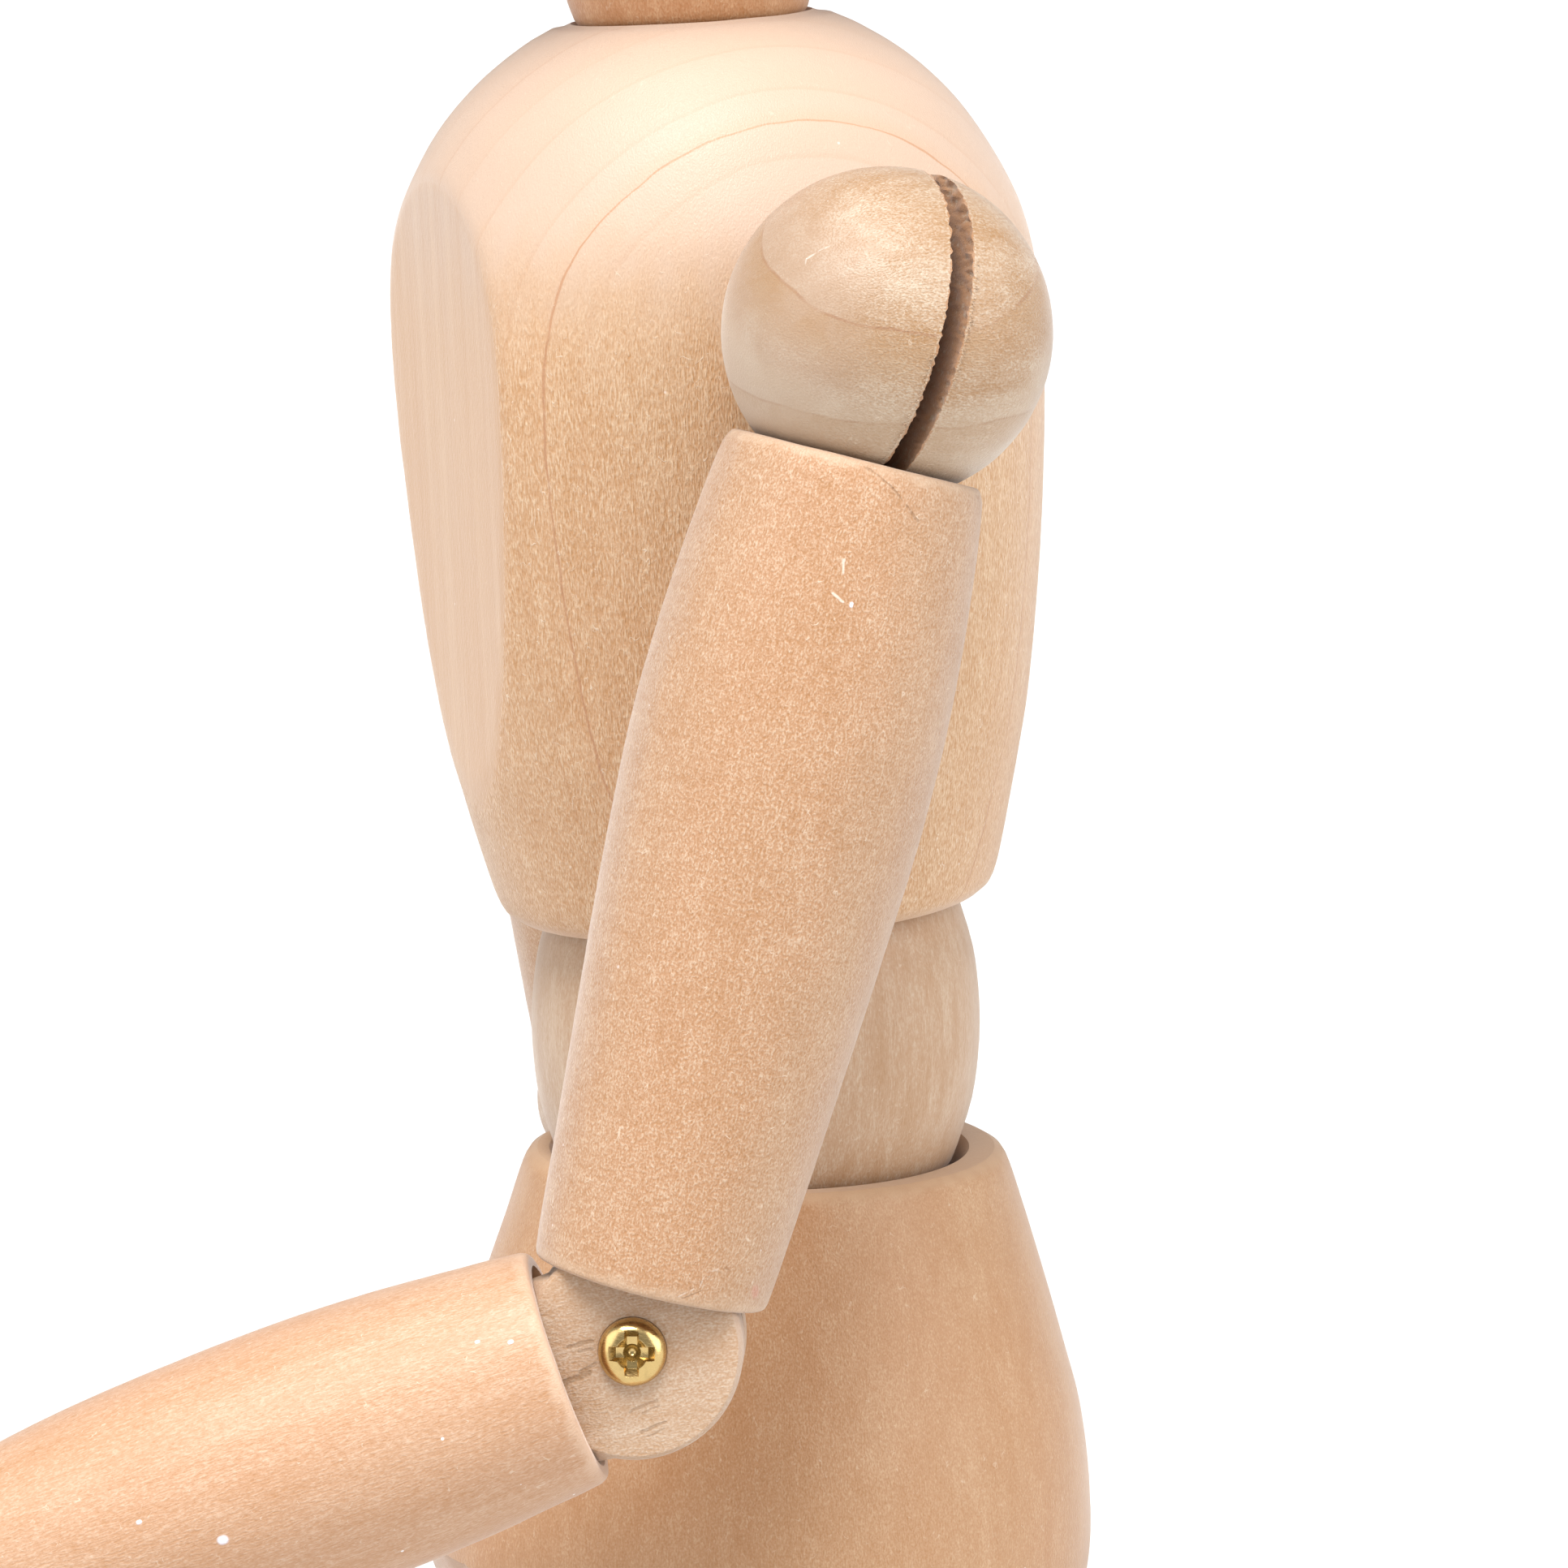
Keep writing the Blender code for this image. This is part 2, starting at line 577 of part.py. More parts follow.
def leg(side):
    suffix = "_l" if side > 0 else "_r"
    hip = move(side * HIP_X, FIGURE_Y, HIP_Z)
    slotted_ball("hip_ball" + suffix, HIP_BALL, side, hip)
    pin_and_link("hip" + suffix, hip, hip, 13.0)
    cup = KNEE["ball"] + GAP
    profile = [(6.6, 6.0), (7.1, 6.8), (8.1, 11.5), (9.0, 18.0), (9.3, 25.0), (9.1, 33.0)]
    profile += [(8.6, 41.0), (8.0, 49.0), (7.5, 56.0), (7.2, 61.0), (7.0, 62.6), (6.85, 62.9)]
    top = (THIGH_TOP, HIP_BALL + GAP, 0.0, 1.0, 14.0)
    bottom = (62.9, cup, KNEE_DROP, KNEE["shank"] + GAP, KNEE_DROP - 15.0)
    limb("thigh" + suffix, top, bottom, profile, hip)
    knee = hip @ move(0, 0, -KNEE_DROP)
    half_knuckle("knee_inner" + suffix, KNEE, -side, 1, knee, 14.7, 3.6)
    half_knuckle("knee_outer" + suffix, KNEE, side, -1, knee, 14.7, 3.6)
    pan_screw("knee_screw" + suffix, KNEE, side, knee)
    profile = [(6.85, 3.6), (7.05, 3.95), (7.5, 7.5), (8.1, 13.0), (8.3, 18.5), (8.0, 25.0)]
    profile += [(7.4, 33.0), (6.6, 41.0), (5.9, 49.0), (5.35, 57.0), (5.2, 61.4), (5.05, 62.0)]
    top = (3.6, cup, 0.0, KNEE["shank"] + GAP, 15.0)
    bottom = (62.0, ANKLE_BALL + GAP, ANKLE_DROP, 0.9, 55.0)
    limb("shin" + suffix, top, bottom, profile, knee)
    ankle = knee @ move(0, 0, -ANKLE_DROP)
    finish(link_ball("ankle_ball" + suffix, ANKLE_BALL, [(4.7, 0), (4.75, 0)], 0.8, 12), "wood", ankle)
    foot("foot" + suffix, ankle)


def foot(name, frame):
    """A wedge-shaped foot with its seat under the ankle ball and its toe forward."""
    seat = ANKLE_BALL + GAP
    rim = math.sqrt(seat * seat - 2.0 * 2.0)
    profile = [(0, -8.5), (0.9, -8.5)] + cap_arc(seat, 0.0, 0.9, rim, 3, -1)
    profile += [(5.3, -2.0), (5.55, -2.5, 1, 1.03, 0)]
    rows = [(5.9, -3.6, -8.2, 6.2), (6.4, -5.2, -13.5, 7.4), (6.9, -7.2, -21.5, 8.6)]
    rows += [(7.2, -9.2, -26.8, 9.4), (7.2, -11.0, -28.0, 9.6), (6.7, -12.2, -27.3, 9.0)]
    for width, z, front, back in rows:
        profile.append((width, z, 1, (back - front) / 2 / width, (front + back) / 2))
    profile.append((0, -12.2, 1, 1, -9.0))
    return finish(turned(name, profile, 16), "wood", frame, 35)


def main():
    clear_scene()
    stand()
    trunk()
    for side in (1, -1):
        arm(side)
        leg(side)


main()
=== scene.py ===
"""Looks for the jointed wooden artist's mannequin: fine meshes, wood and metal, studio."""

import math
import random

import bmesh
import bpy
from mathutils import Matrix, Vector, noise


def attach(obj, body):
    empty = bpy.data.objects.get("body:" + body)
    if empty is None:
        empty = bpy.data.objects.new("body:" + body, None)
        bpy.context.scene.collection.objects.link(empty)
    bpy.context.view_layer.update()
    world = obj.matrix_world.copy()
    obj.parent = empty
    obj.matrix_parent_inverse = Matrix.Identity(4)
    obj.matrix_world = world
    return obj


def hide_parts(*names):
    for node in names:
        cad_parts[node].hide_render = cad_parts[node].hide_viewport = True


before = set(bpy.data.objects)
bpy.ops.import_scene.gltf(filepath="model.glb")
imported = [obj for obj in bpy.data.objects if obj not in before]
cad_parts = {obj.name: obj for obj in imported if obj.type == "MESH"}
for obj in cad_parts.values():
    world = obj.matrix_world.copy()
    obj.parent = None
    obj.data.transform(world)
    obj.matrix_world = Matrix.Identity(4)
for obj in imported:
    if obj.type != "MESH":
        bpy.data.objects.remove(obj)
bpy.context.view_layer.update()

MM = 0.001
GAP = 0.3

# ------ sizes, as the CAD has them (mm)
BASE_RADIUS, BASE_HEIGHT = 48.0, 12.0
ROD_RADIUS, ROD_FOOT, ROD_TOP = 2.25, 3.5, 177.0
FIGURE_Y, HIP_Z, WAIST_Z = -9.0, 168.0, 206.6
KNEE_DROP, ANKLE_DROP = 66.5, 64.0
WAIST_Y, WAIST_BALL, WAIST_GAP = -9.2, 13.5, 7.2
TORSO_LEAN, TORSO_HEIGHT = 3.8, 49.0
TORSO_FACET, PELVIS_SKEW = 15.6, 0.4
NECK_BALL, NECK_GAP, HEAD_HEIGHT = 7.2, 3.5, 36.5
SHOULDER_X, SHOULDER_LEVEL, SHOULDER_BALL = 26.2, 33.6, 8.5
UPPER_ARM_TOP, UPPER_ARM_END, ELBOW_DROP = 6.6, 50.35, 53.55
FOREARM_END, WRIST_DROP = 39.7, 41.5
ARM_SWING = {1: 15.0, -1: -9.0}
ARM_LIFT = {1: 0.0, -1: 9.0}
ARM_TWIST = {1: 23.0, -1: 8.0}
ELBOW_BEND = {1: 56.0, -1: 6.0}
WRIST_BALL, ANKLE_BALL = 4.3, 4.8
HIP_X, HIP_BALL, THIGH_TOP, THIGH_END, SHIN_END = 12.3, 8.0, 6.0, 62.9, 62.0
KERF = 1.2

# Half knuckles: disc, trimming ball, shank and screw head are radii, half is half the thickness.
# The shank ends at end, the limb's bore for it at bore, and the limb itself at rim.
KNUCKLE_SIZES = ("disc", "ball", "half", "shank", "head", "end", "bore", "rim")
ELBOW = dict(zip(KNUCKLE_SIZES, (5.65, 6.3, 3.6, 2.2, 1.75, 13.2, 13.5, 3.7)))
KNEE = dict(zip(KNUCKLE_SIZES, (6.4, 7.2, 4.0, 2.6, 2.0, 14.7, 15.0, 3.6)))


# ------ placing
def move(x=0.0, y=0.0, z=0.0):
    return Matrix.Translation(Vector((x, y, z)) * MM)


def turn(degrees, axis):
    return Matrix.Rotation(math.radians(degrees), 4, axis)


WAIST = move(0, WAIST_Y, WAIST_Z)
TORSO = WAIST @ turn(TORSO_LEAN, "X")
NECK = TORSO @ move(0, 0, WAIST_GAP + TORSO_HEIGHT + NECK_GAP)


# ------ profiles
def arc_rows(ball, centre, r_from, r_to, steps, up):
    rows = []
    for i in range(steps + 1):
        r = r_from + (r_to - r_from) * i / steps
        rows.append((r, centre + up * math.sqrt(max(ball * ball - r * r, 0.0))))
    return rows


def smooth_rows(points, spacing):
    """Rows along a smooth curve through the points."""
    pts = [Vector((p[0], p[1])) for p in points]
    ends = [pts[0] * 2 - pts[1]] + pts + [pts[-1] * 2 - pts[-2]]
    rows = []
    for i in range(1, len(ends) - 2):
        p0, p1, p2, p3 = ends[i - 1 : i + 3]
        count = max(1, round((p2 - p1).length / spacing))
        d1 = max((p2 - p1).length, 1e-6)
        m1 = (p2 - p0) / max((p2 - p0).length, 1e-6) * d1
        m2 = (p3 - p1) / max((p3 - p1).length, 1e-6) * d1
        for k in range(count):
            t = k / count
            h00 = 2 * t**3 - 3 * t**2 + 1
            h10 = t**3 - 2 * t**2 + t
            h01 = -2 * t**3 + 3 * t**2
            h11 = t**3 - t**2
            rows.append(tuple(h00 * p1 + h10 * m1 + h01 * p2 + h11 * m2))
    rows.append(tuple(pts[-1]))
    return rows


def rounded(rows, corner, radius, steps=5):
    """Rounds the corner at that index of a list of rows."""
    p = Vector(rows[corner][:2])
    a = Vector(rows[corner - 1][:2])
    b = Vector(rows[corner + 1][:2])
    ra = min(radius, (a - p).length * 0.9)
    rb = min(radius, (b - p).length * 0.9)
    start = p + (a - p).normalized() * ra
    stop = p + (b - p).normalized() * rb
    bend = []
    for i in range(steps + 1):
        t = i / steps
        bend.append(tuple(start * (1 - t) ** 2 + p * 2 * t * (1 - t) + stop * t * t))
    return rows[:corner] + bend + rows[corner + 1 :]


# ------ meshes
def new_piece(name, verts, faces):
    mesh = bpy.data.meshes.new(name)
    mesh.from_pydata([Vector(v) * MM for v in verts], [], faces)
    bm = bmesh.new()
    bm.from_mesh(mesh)
    bmesh.ops.recalc_face_normals(bm, faces=bm.faces)
    bm.to_mesh(mesh)
    bm.free()
    obj = bpy.data.objects.new(name, mesh)
    bpy.context.scene.collection.objects.link(obj)
    return obj


def loft(name, rings, closed=False):
    verts, starts = [], []
    for ring in rings:
        starts.append(len(verts))
        verts += ring
    faces = []
    pairs = [(i, i + 1) for i in range(len(rings) - 1)]
    if closed:
        pairs.append((len(rings) - 1, 0))
    for lo, hi in pairs:
        nl, nh = len(rings[lo]), len(rings[hi])
        count = max(nl, nh)
        for i in range(count):
            j = (i + 1) % count
            corners = [starts[lo] + i % nl, starts[lo] + j % nl]
            corners += [starts[hi] + j % nh, starts[hi] + i % nh]
            face = list(dict.fromkeys(corners))
            if len(face) > 2:
                faces.append(face)
    if not closed:
        for k in (0, len(rings) - 1):
            if len(rings[k]) > 2:
                faces.append([starts[k] + i for i in range(len(rings[k]))])
    return new_piece(name, verts, faces)


def ring(radius, z, segments, sx=1.0, sy=1.0, cy=0.0, shape=None):
    if radius < 1e-6:
        return [(0.0, cy, z)]
    points = []
    for i in range(segments):
        a = 2 * math.pi * (i + 0.5) / segments
        r = radius if shape is None else shape(a, radius, z)
        points.append((r * sx * math.cos(a), cy + r * sy * math.sin(a), z))
    return points


def lathe(name, rows, segments=128, closed=False, shape=None):
    return loft(name, [ring(p[0], p[1], segments, *p[2:], shape=shape) for p in rows], closed)


def nearest(rows, z):
    """The first value of the row whose height is nearest to z."""
    return min(rows, key=lambda row: abs(row[1] - z))[0]


def sphere_rows(radius, rings):
    rows = [(0, -radius)]
    for i in range(1, rings):
        a = math.pi * i / rings
        rows.append((radius * math.sin(a), -radius * math.cos(a)))
    return rows + [(0, radius)]


def rectangle(low, high, z):
    return [(low[0], low[1], z), (high[0], low[1], z), (high[0], high[1], z), (low[0], high[1], z)]


def box(name, low, high):
    return loft(name, [rectangle(low, high, z) for z in (low[2], high[2])])


def bar(name, radius, low, high, segments, axis="Z"):
    obj = lathe(name, [(radius, low), (radius, high)], segments)
    if axis == "X":
        obj.data.transform(turn(90, "Y"))
    if axis == "Y":
        obj.data.transform(turn(-90, "X"))
    return obj


def carve(target, operation, tools):
    for tool in tools:
        modifier = target.modifiers.new(operation, "BOOLEAN")
        modifier.operation = operation
        modifier.solver = "EXACT"
        modifier.object = tool
    return bake(target, tools)


def bake(target, tools=()):
    """Applies the modifiers and removes the tools."""
    bpy.context.view_layer.update()
    graph = bpy.context.evaluated_depsgraph_get()
    mesh = bpy.data.meshes.new_from_object(target.evaluated_get(graph))
    target.modifiers.clear()
    target.data = mesh
    mesh.name = target.name
    for tool in tools:
        bpy.data.objects.remove(tool, do_unlink=True)
    bm = bmesh.new()
    bm.from_mesh(mesh)
    bmesh.ops.remove_doubles(bm, verts=bm.verts, dist=0.002 * MM)
    bmesh.ops.dissolve_degenerate(bm, edges=bm.edges, dist=0.001 * MM)
    bm.to_mesh(mesh)
    bm.free()
    return target


def bevel(obj, width, segments, angle):
    modifier = obj.modifiers.new("edge", "BEVEL")
    modifier.width = width * MM
    modifier.segments = segments
    modifier.limit_method = "ANGLE"
    modifier.angle_limit = math.radians(angle)
    modifier.use_clamp_overlap = True
    return bake(obj)


def wobble(obj, amount, size, seed):
    """Small unevenness of a turned and sanded surface."""
    shift = Vector((seed * 7.3, seed * 3.1, seed * 5.7))
    mesh = obj.data
    moved = []
    for v in mesh.vertices:
        p = v.co / MM
        n = noise.noise(Vector((p.x, p.y, p.z * 0.6)) / size + shift)
        n += 0.5 * noise.noise(p / (size * 0.37) + shift)
        moved.append(v.co + v.normal * n * amount * MM)
    for v, co in zip(mesh.vertices, moved):
        v.co = co
    return obj


def splinters(obj, roots, length, seed):
    """Adds short torn fibres to a piece. Each root is a place on it and a direction."""
    draw = random.Random(seed)
    verts, faces = [], []
    for root, direction in roots:
        lean = Vector([draw.uniform(-0.5, 0.5) for _ in range(3)])
        along = (Vector(direction).normalized() + lean).normalized()
        reach = length * draw.uniform(0.35, 1.0)
        curl = Vector([draw.uniform(-0.35, 0.35) for _ in range(3)]) * reach
        across = along.orthogonal().normalized()
        other = along.cross(across)
        first = len(verts)
        for share, width in ((0.0, 0.042), (0.55, 0.028)):
            centre = Vector(root) + along * reach * share + curl * share**2
            for k in range(3):
                a = 2 * math.pi * k / 3
                verts.append(centre + (across * math.cos(a) + other * math.sin(a)) * width)
        verts.append(Vector(root) + along * reach + curl)
        faces.append([first, first + 1, first + 2])
        for k in range(3):
            n = (k + 1) % 3
            faces.append([first + k, first + n, first + 3 + n, first + 3 + k])
            faces.append([first + 3 + k, first + 3 + n, first + 6])
    fibres = new_piece("fibres", verts, faces)
    bm = bmesh.new()
    bm.from_mesh(obj.data)
    bm.from_mesh(fibres.data)
    bm.to_mesh(obj.data)
    bm.free()
    bpy.data.objects.remove(fibres, do_unlink=True)
    return obj


def place(obj, matrix, node, material, body=None, sharp=32):
    """Shades the piece and puts it in for its node. A body not given has the node's name."""
    body = body or node
    obj.data.materials.clear()
    obj.data.materials.append(material)
    obj.data.shade_smooth()
    obj.data.set_sharp_from_angle(angle=math.radians(sharp))
    obj.matrix_world = matrix
    bpy.context.view_layer.update()
    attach(obj, body)
    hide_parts(node)
    return obj


# ------ node helper
class Graph:
    """Short names for the nodes of one material."""

    def __init__(self, name):
        self.mat = bpy.data.materials.new(name)
        self.mat.use_nodes = True
        self.tree = self.mat.node_tree
        self.shader = self.tree.nodes["Principled BSDF"]

    def node(self, kind, **values):
        n = self.tree.nodes.new(kind)
        for key, value in values.items():
            setattr(n, key, value)
        return n

    def put(self, socket, value):
        if isinstance(value, bpy.types.NodeSocket):
            self.tree.links.new(value, socket)
        else:
            socket.default_value = value

    def math(self, operation, a, b=0.0, clamp=False):
        n = self.node("ShaderNodeMath", operation=operation, use_clamp=clamp)
        for socket, value in zip(n.inputs, (a, b)):
            self.put(socket, value)
        return n.outputs[0]

    def add(self, a, b):
        return self.math("ADD", a, b)

    def sub(self, a, b):
        return self.math("SUBTRACT", a, b)

    def mul(self, a, b):
        return self.math("MULTIPLY", a, b)

    def abs(self, value):
        return self.math("ABSOLUTE", value)

    def spread(self, value, size):
        """A noise value moved to lie about 0, and scaled."""
        return self.mul(self.sub(value, 0.5), size)

    def stretch(self, vector, along):
        """Under 1 makes a texture longer along the fibres."""
        return self.vec("MULTIPLY", vector, (1.0, 1.0, along))

    def dot(self, vector, direction):
        return self.vec("DOT_PRODUCT", vector, tuple(Vector(direction).normalized()))

    def vec(self, operation, a, b=(0, 0, 0)):
        n = self.node("ShaderNodeVectorMath", operation=operation)
        self.put(n.inputs[0], a)
        self.put(n.inputs[1], b)
        return n.outputs["Value" if operation in ("LENGTH", "DISTANCE", "DOT_PRODUCT") else 0]

    def ramp(self, value, low, high, out_low=0.0, out_high=1.0, smooth=True):
        kind = "SMOOTHSTEP" if smooth else "LINEAR"
        n = self.node("ShaderNodeMapRange", interpolation_type=kind, clamp=True)
        for socket, v in zip(n.inputs, (value, low, high, out_low, out_high)):
            self.put(socket, v)
        return n.outputs[0]

    def fed(self, kind, **inputs):
        """A node with its inputs set or linked by name."""
        n = self.node(kind)
        for name, value in inputs.items():
            self.put(n.inputs[name], value)
        return n

    def noise(self, vector, scale, detail=2.0, rough=0.5, distortion=0.0):
        return self.fed("ShaderNodeTexNoise", Vector=vector, Scale=scale, Detail=detail,
                        Roughness=rough, Distortion=distortion).outputs[0]

    def mix(self, factor, a, b):
        n = self.node("ShaderNodeMix", data_type="RGBA", clamp_factor=True)
        self.put(n.inputs["Factor"], factor)
        sockets = [s for s in n.inputs if s.type == "RGBA"]
        for socket, value in zip(sockets, (a, b)):
            if isinstance(value, tuple):
                value = (*value[:3], 1.0)
            self.put(socket, value)
        return [s for s in n.outputs if s.type == "RGBA"][0]

    def rotate(self, vector, degrees):
        if not any(degrees):
            return vector
        n = self.node("ShaderNodeVectorRotate", rotation_type="EULER_XYZ")
        self.put(n.inputs["Vector"], vector)
        n.inputs["Rotation"].default_value = [math.radians(d) for d in degrees]
        return n.outputs[0]

    def object_mm(self):
        """Place in the piece's own frame, in millimetres, and the normal there."""
        coords = self.node("ShaderNodeTexCoord").outputs
        return self.vec("MULTIPLY", coords["Object"], (1000, 1000, 1000)), coords["Normal"]

    def surface(self, values):
        for name, value in values.items():
            self.put(self.shader.inputs[name], value)

    def bump(self, height, strength, distance):
        n = self.fed("ShaderNodeBump", Strength=strength, Distance=distance, Height=height)
        self.surface({"Normal": n.outputs["Normal"]})

    def split(self, vector):
        return self.fed("ShaderNodeSeparateXYZ", Vector=vector).outputs


def hexcolor(*display):
    """A colour given as display values 0..255."""
    shares = [v / 255 for v in display]
    return tuple(v / 12.92 if v <= 0.04045 else ((v + 0.055) / 1.055) ** 2.4 for v in shares)


def tinted(tone, red, green, blue, lift=0.0):
    return tuple(min(0.93, c * k + lift) for c, k in zip(tone, (red, green, blue)))


def stroke(g, p, start, stop, width):
    """1 on a straight mark between two points of the piece's frame, 0 away from it."""
    a, b = Vector(start), Vector(stop)
    along = b - a
    rel = g.vec("SUBTRACT", p, tuple(a))
    t = g.math("DIVIDE", g.vec("DOT_PRODUCT", rel, tuple(along)), along.length_squared, clamp=True)
    scaled = g.node("ShaderNodeVectorMath", operation="SCALE")
    scaled.inputs[0].default_value = tuple(along)
    g.put(scaled.inputs["Scale"], t)
    distance = g.vec("DISTANCE", rel, scaled.outputs[0])
    return g.ramp(distance, width * 0.35, width, 1.0, 0.0)


MARK_TINTS = {"pale": (0.88, 0.82, 0.74), "red": (0.55, 0.2, 0.16), "dust": (0.86, 0.86, 0.97)}


class Wood(Graph):
    """What every wood shares: its frame in mm, its tints and its textures from fine to coarse."""

    def __init__(self, name, tone, grain, seed):
        super().__init__(name)
        self.local, self.normal = self.object_mm()
        self.fibre = self.rotate(self.local, grain)
        self.facing = self.rotate(self.normal, grain)
        self.p = self.vec("ADD", self.fibre, (seed * 17.0, seed * 11.0, seed * 29.0))

        self.light = tinted(tone, 1.22, 1.42, 1.62, 0.02)
        self.dark = tinted(tone, 0.83, 0.67, 0.45)
        self.orange = tinted(tone, 1.0, 0.88, 0.78)
        self.pale = tinted(tone, 1.0, 1.07, 1.24)
        self.line = tinted(tone, 0.74, 0.55, 0.46)

        self.hair = self.noise(self.stretch(self.p, 0.22), 11.5, 1.0, 0.5)
        self.grit = self.noise(self.stretch(self.p, 0.75), 9.5, 1.0, 0.5)
        self.strand = self.noise(self.stretch(self.p, 0.09), 1.6, 3.0, 0.6)
        self.patch = self.noise(self.stretch(self.p, 0.5), 0.38, 3.0, 0.6, 0.5)
        self.cloud = self.noise(self.stretch(self.p, 0.4), 0.075, 2.0, 0.5)


def growth_rings(g, color, end, px, py, spacing, phase, strength, radius=0, bold=0):
    """Thin lines on cylinders about the pith at px, py. The boldest has its own radius, if any."""
    x, y, _ = g.split(g.fibre)
    bend = g.spread(g.noise(g.stretch(g.fibre, 0.35), 0.07, 2.0), 1.0)
    dx, dy = g.sub(x, px), g.sub(y, py)
    true = g.math("SQRT", g.add(g.mul(dx, dx), g.mul(dy, dy)))
    turns = g.math("DIVIDE", g.add(g.add(true, bend), phase), spacing)
    part = g.math("FRACT", turns)
    own = g.node("ShaderNodeTexWhiteNoise", noise_dimensions="1D")
    g.put(own.inputs["W"], g.math("FLOOR", turns))
    line = g.mul(g.ramp(part, 0.90, 0.97), g.ramp(part, 1.0, 0.98))
    line = g.mul(g.mul(line, strength), g.ramp(own.outputs["Value"], 0.0, 1.0, 0.25, 1.0, False))
    color = g.mix(line, color, g.line)
    color = g.mix(g.mul(g.ramp(part, 0.3, 0.95), strength * 0.25), color, g.dark)
    if bold:
        off = g.add(g.sub(true, radius), g.spread(g.noise(g.local, 0.5, 2.0), 0.2))
        width = g.ramp(g.noise(g.local, 0.25, 1.0), 0.3, 0.7, 0.04, 0.075)
        sharp = g.ramp(g.abs(off), width, g.mul(width, 0.3))
        color = g.mix(g.mul(g.mul(sharp, bold), g.sub(1.0, g.mul(end, 0.45))), color, g.line)
        soft = g.mul(g.ramp(off, -0.9, 0.0), g.ramp(off, 0.12, 0.0))
        color = g.mix(g.mul(soft, bold * 0.25), color, g.orange)
    return color


def growth_sheet(g, color, axis, distance, width, strength, shade):
    """One broken line where a curved layer meets the surface, darker below it, and paler further below:
    partly the wood's own colour, partly painted reflected light.
    """
    bend = g.spread(g.noise(g.local, 0.20, 3.0), 0.9)
    off = g.add(g.sub(g.dot(g.local, axis), distance), bend)
    broken = g.ramp(g.noise(g.local, 0.5, 2.0), 0.40, 0.60, 0.35, 1.0)
    thin = g.ramp(g.abs(off), width, width * 0.3)
    color = g.mix(g.mul(g.mul(thin, strength), broken), color, g.line)
    below = g.mul(g.ramp(off, -shade, 0.0), g.ramp(off, 0.15, -0.1))
    below = g.mul(below, g.ramp(g.patch, 0.38, 0.58, 0.3, 1.0))
    color = g.mix(g.mul(below, strength), color, g.dark)
    # Paler further below the line: partly the wood's own colour, partly painted reflected light from
    # below.
    return g.mix(g.mul(g.ramp(off, -shade * 0.8, -shade * 1.3), strength * 0.6), color, g.light)


def raised_fibres(g, color, height, amount):
    curls = g.noise(g.stretch(g.p, 0.6), 1.9, 0.0, 0.5, 0.6)
    thin = g.ramp(g.abs(g.sub(curls, 0.5)), 0.016, 0.003)
    some = g.ramp(g.noise(g.p, 1.9, 1.0), 0.56, 0.66)
    fibres = g.mul(g.mul(thin, some), amount)
    return g.mix(fibres, color, (0.86, 0.76, 0.62)), g.add(height, g.mul(fibres, 1.5))


def dust(g, color, amount):
    cells = g.fed("ShaderNodeTexVoronoi", Vector=g.p, Scale=0.42)
    near = g.math("LESS_THAN", cells.outputs["Distance"], 0.035)
    some = g.math("GREATER_THAN", g.split(cells.outputs["Color"])[0], 0.6)
    return g.mix(g.mul(g.mul(near, some), amount), color, (0.90, 0.88, 0.90))


def worn_rims(g, color, rims):
    z = g.add(g.split(g.local)[2], g.spread(g.noise(g.p, 0.9, 3.0), 1.2))
    for level, reach in rims:
        worn = g.ramp(g.abs(g.sub(z, level)), 0.0, reach, 1.0, 0.0)
        color = g.mix(g.mul(worn, 0.5), color, g.light)
    return color


def cup_shade_and_grime(g, color, high, low, amount):
    # Painted shade: darker towards the bottom, where the piece sits in a cup, with some rubbed grime.
    level = g.add(g.split(g.local)[2], g.spread(g.patch, 0.8))
    return g.mix(g.mul(g.ramp(level, high, low), amount), color, tinted(g.dark, 0.5, 0.42, 0.40))


def kerf_shade_and_crumbs(g, color, half):
    """A saw kerf's walls across Y darkened as painted shade, and pale crumbs along its lips."""
    ragged = g.add(g.abs(g.split(g.local)[1]), g.spread(g.noise(g.local, 4.0, 2.0), 0.30))
    crumbs = g.mul(g.ramp(ragged, half + 0.22, half + 0.12), g.ramp(g.grit, 0.45, 0.55))
    color = g.mix(g.mul(crumbs, 0.5), color, g.light)
    # Painted shade on the walls inside the kerf.
    wall_shade = tinted(g.dark, 1.05, 0.92, 0.95)
    return g.mix(g.mul(g.ramp(ragged, half + 0.10, half + 0.02), 0.75), color, wall_shade)


def small_marks(g, color, height, marks):
    shake = g.fed("ShaderNodeTexNoise", Vector=g.local, Scale=1.6)
    jitter = g.vec("SUBTRACT", shake.outputs["Color"], (0.5, 0.5, 0.5))
    shaken = g.vec("ADD", g.local, g.vec("MULTIPLY", jitter, (0.25, 0.25, 0.25)))
    for kind, start, stop, width, strength in marks:
        there = stroke(g, shaken if kind != "dust" else g.local, start, stop, width)
        tint = tinted(g.dark, 0.6, 0.6, 0.6) if kind == "dark" else MARK_TINTS[kind]
        color = g.mix(g.mul(there, strength), color, tint)
        raised = -4.0 if kind == "dark" else 1.5
        height = g.add(height, g.mul(there, raised * strength))
    return color, height


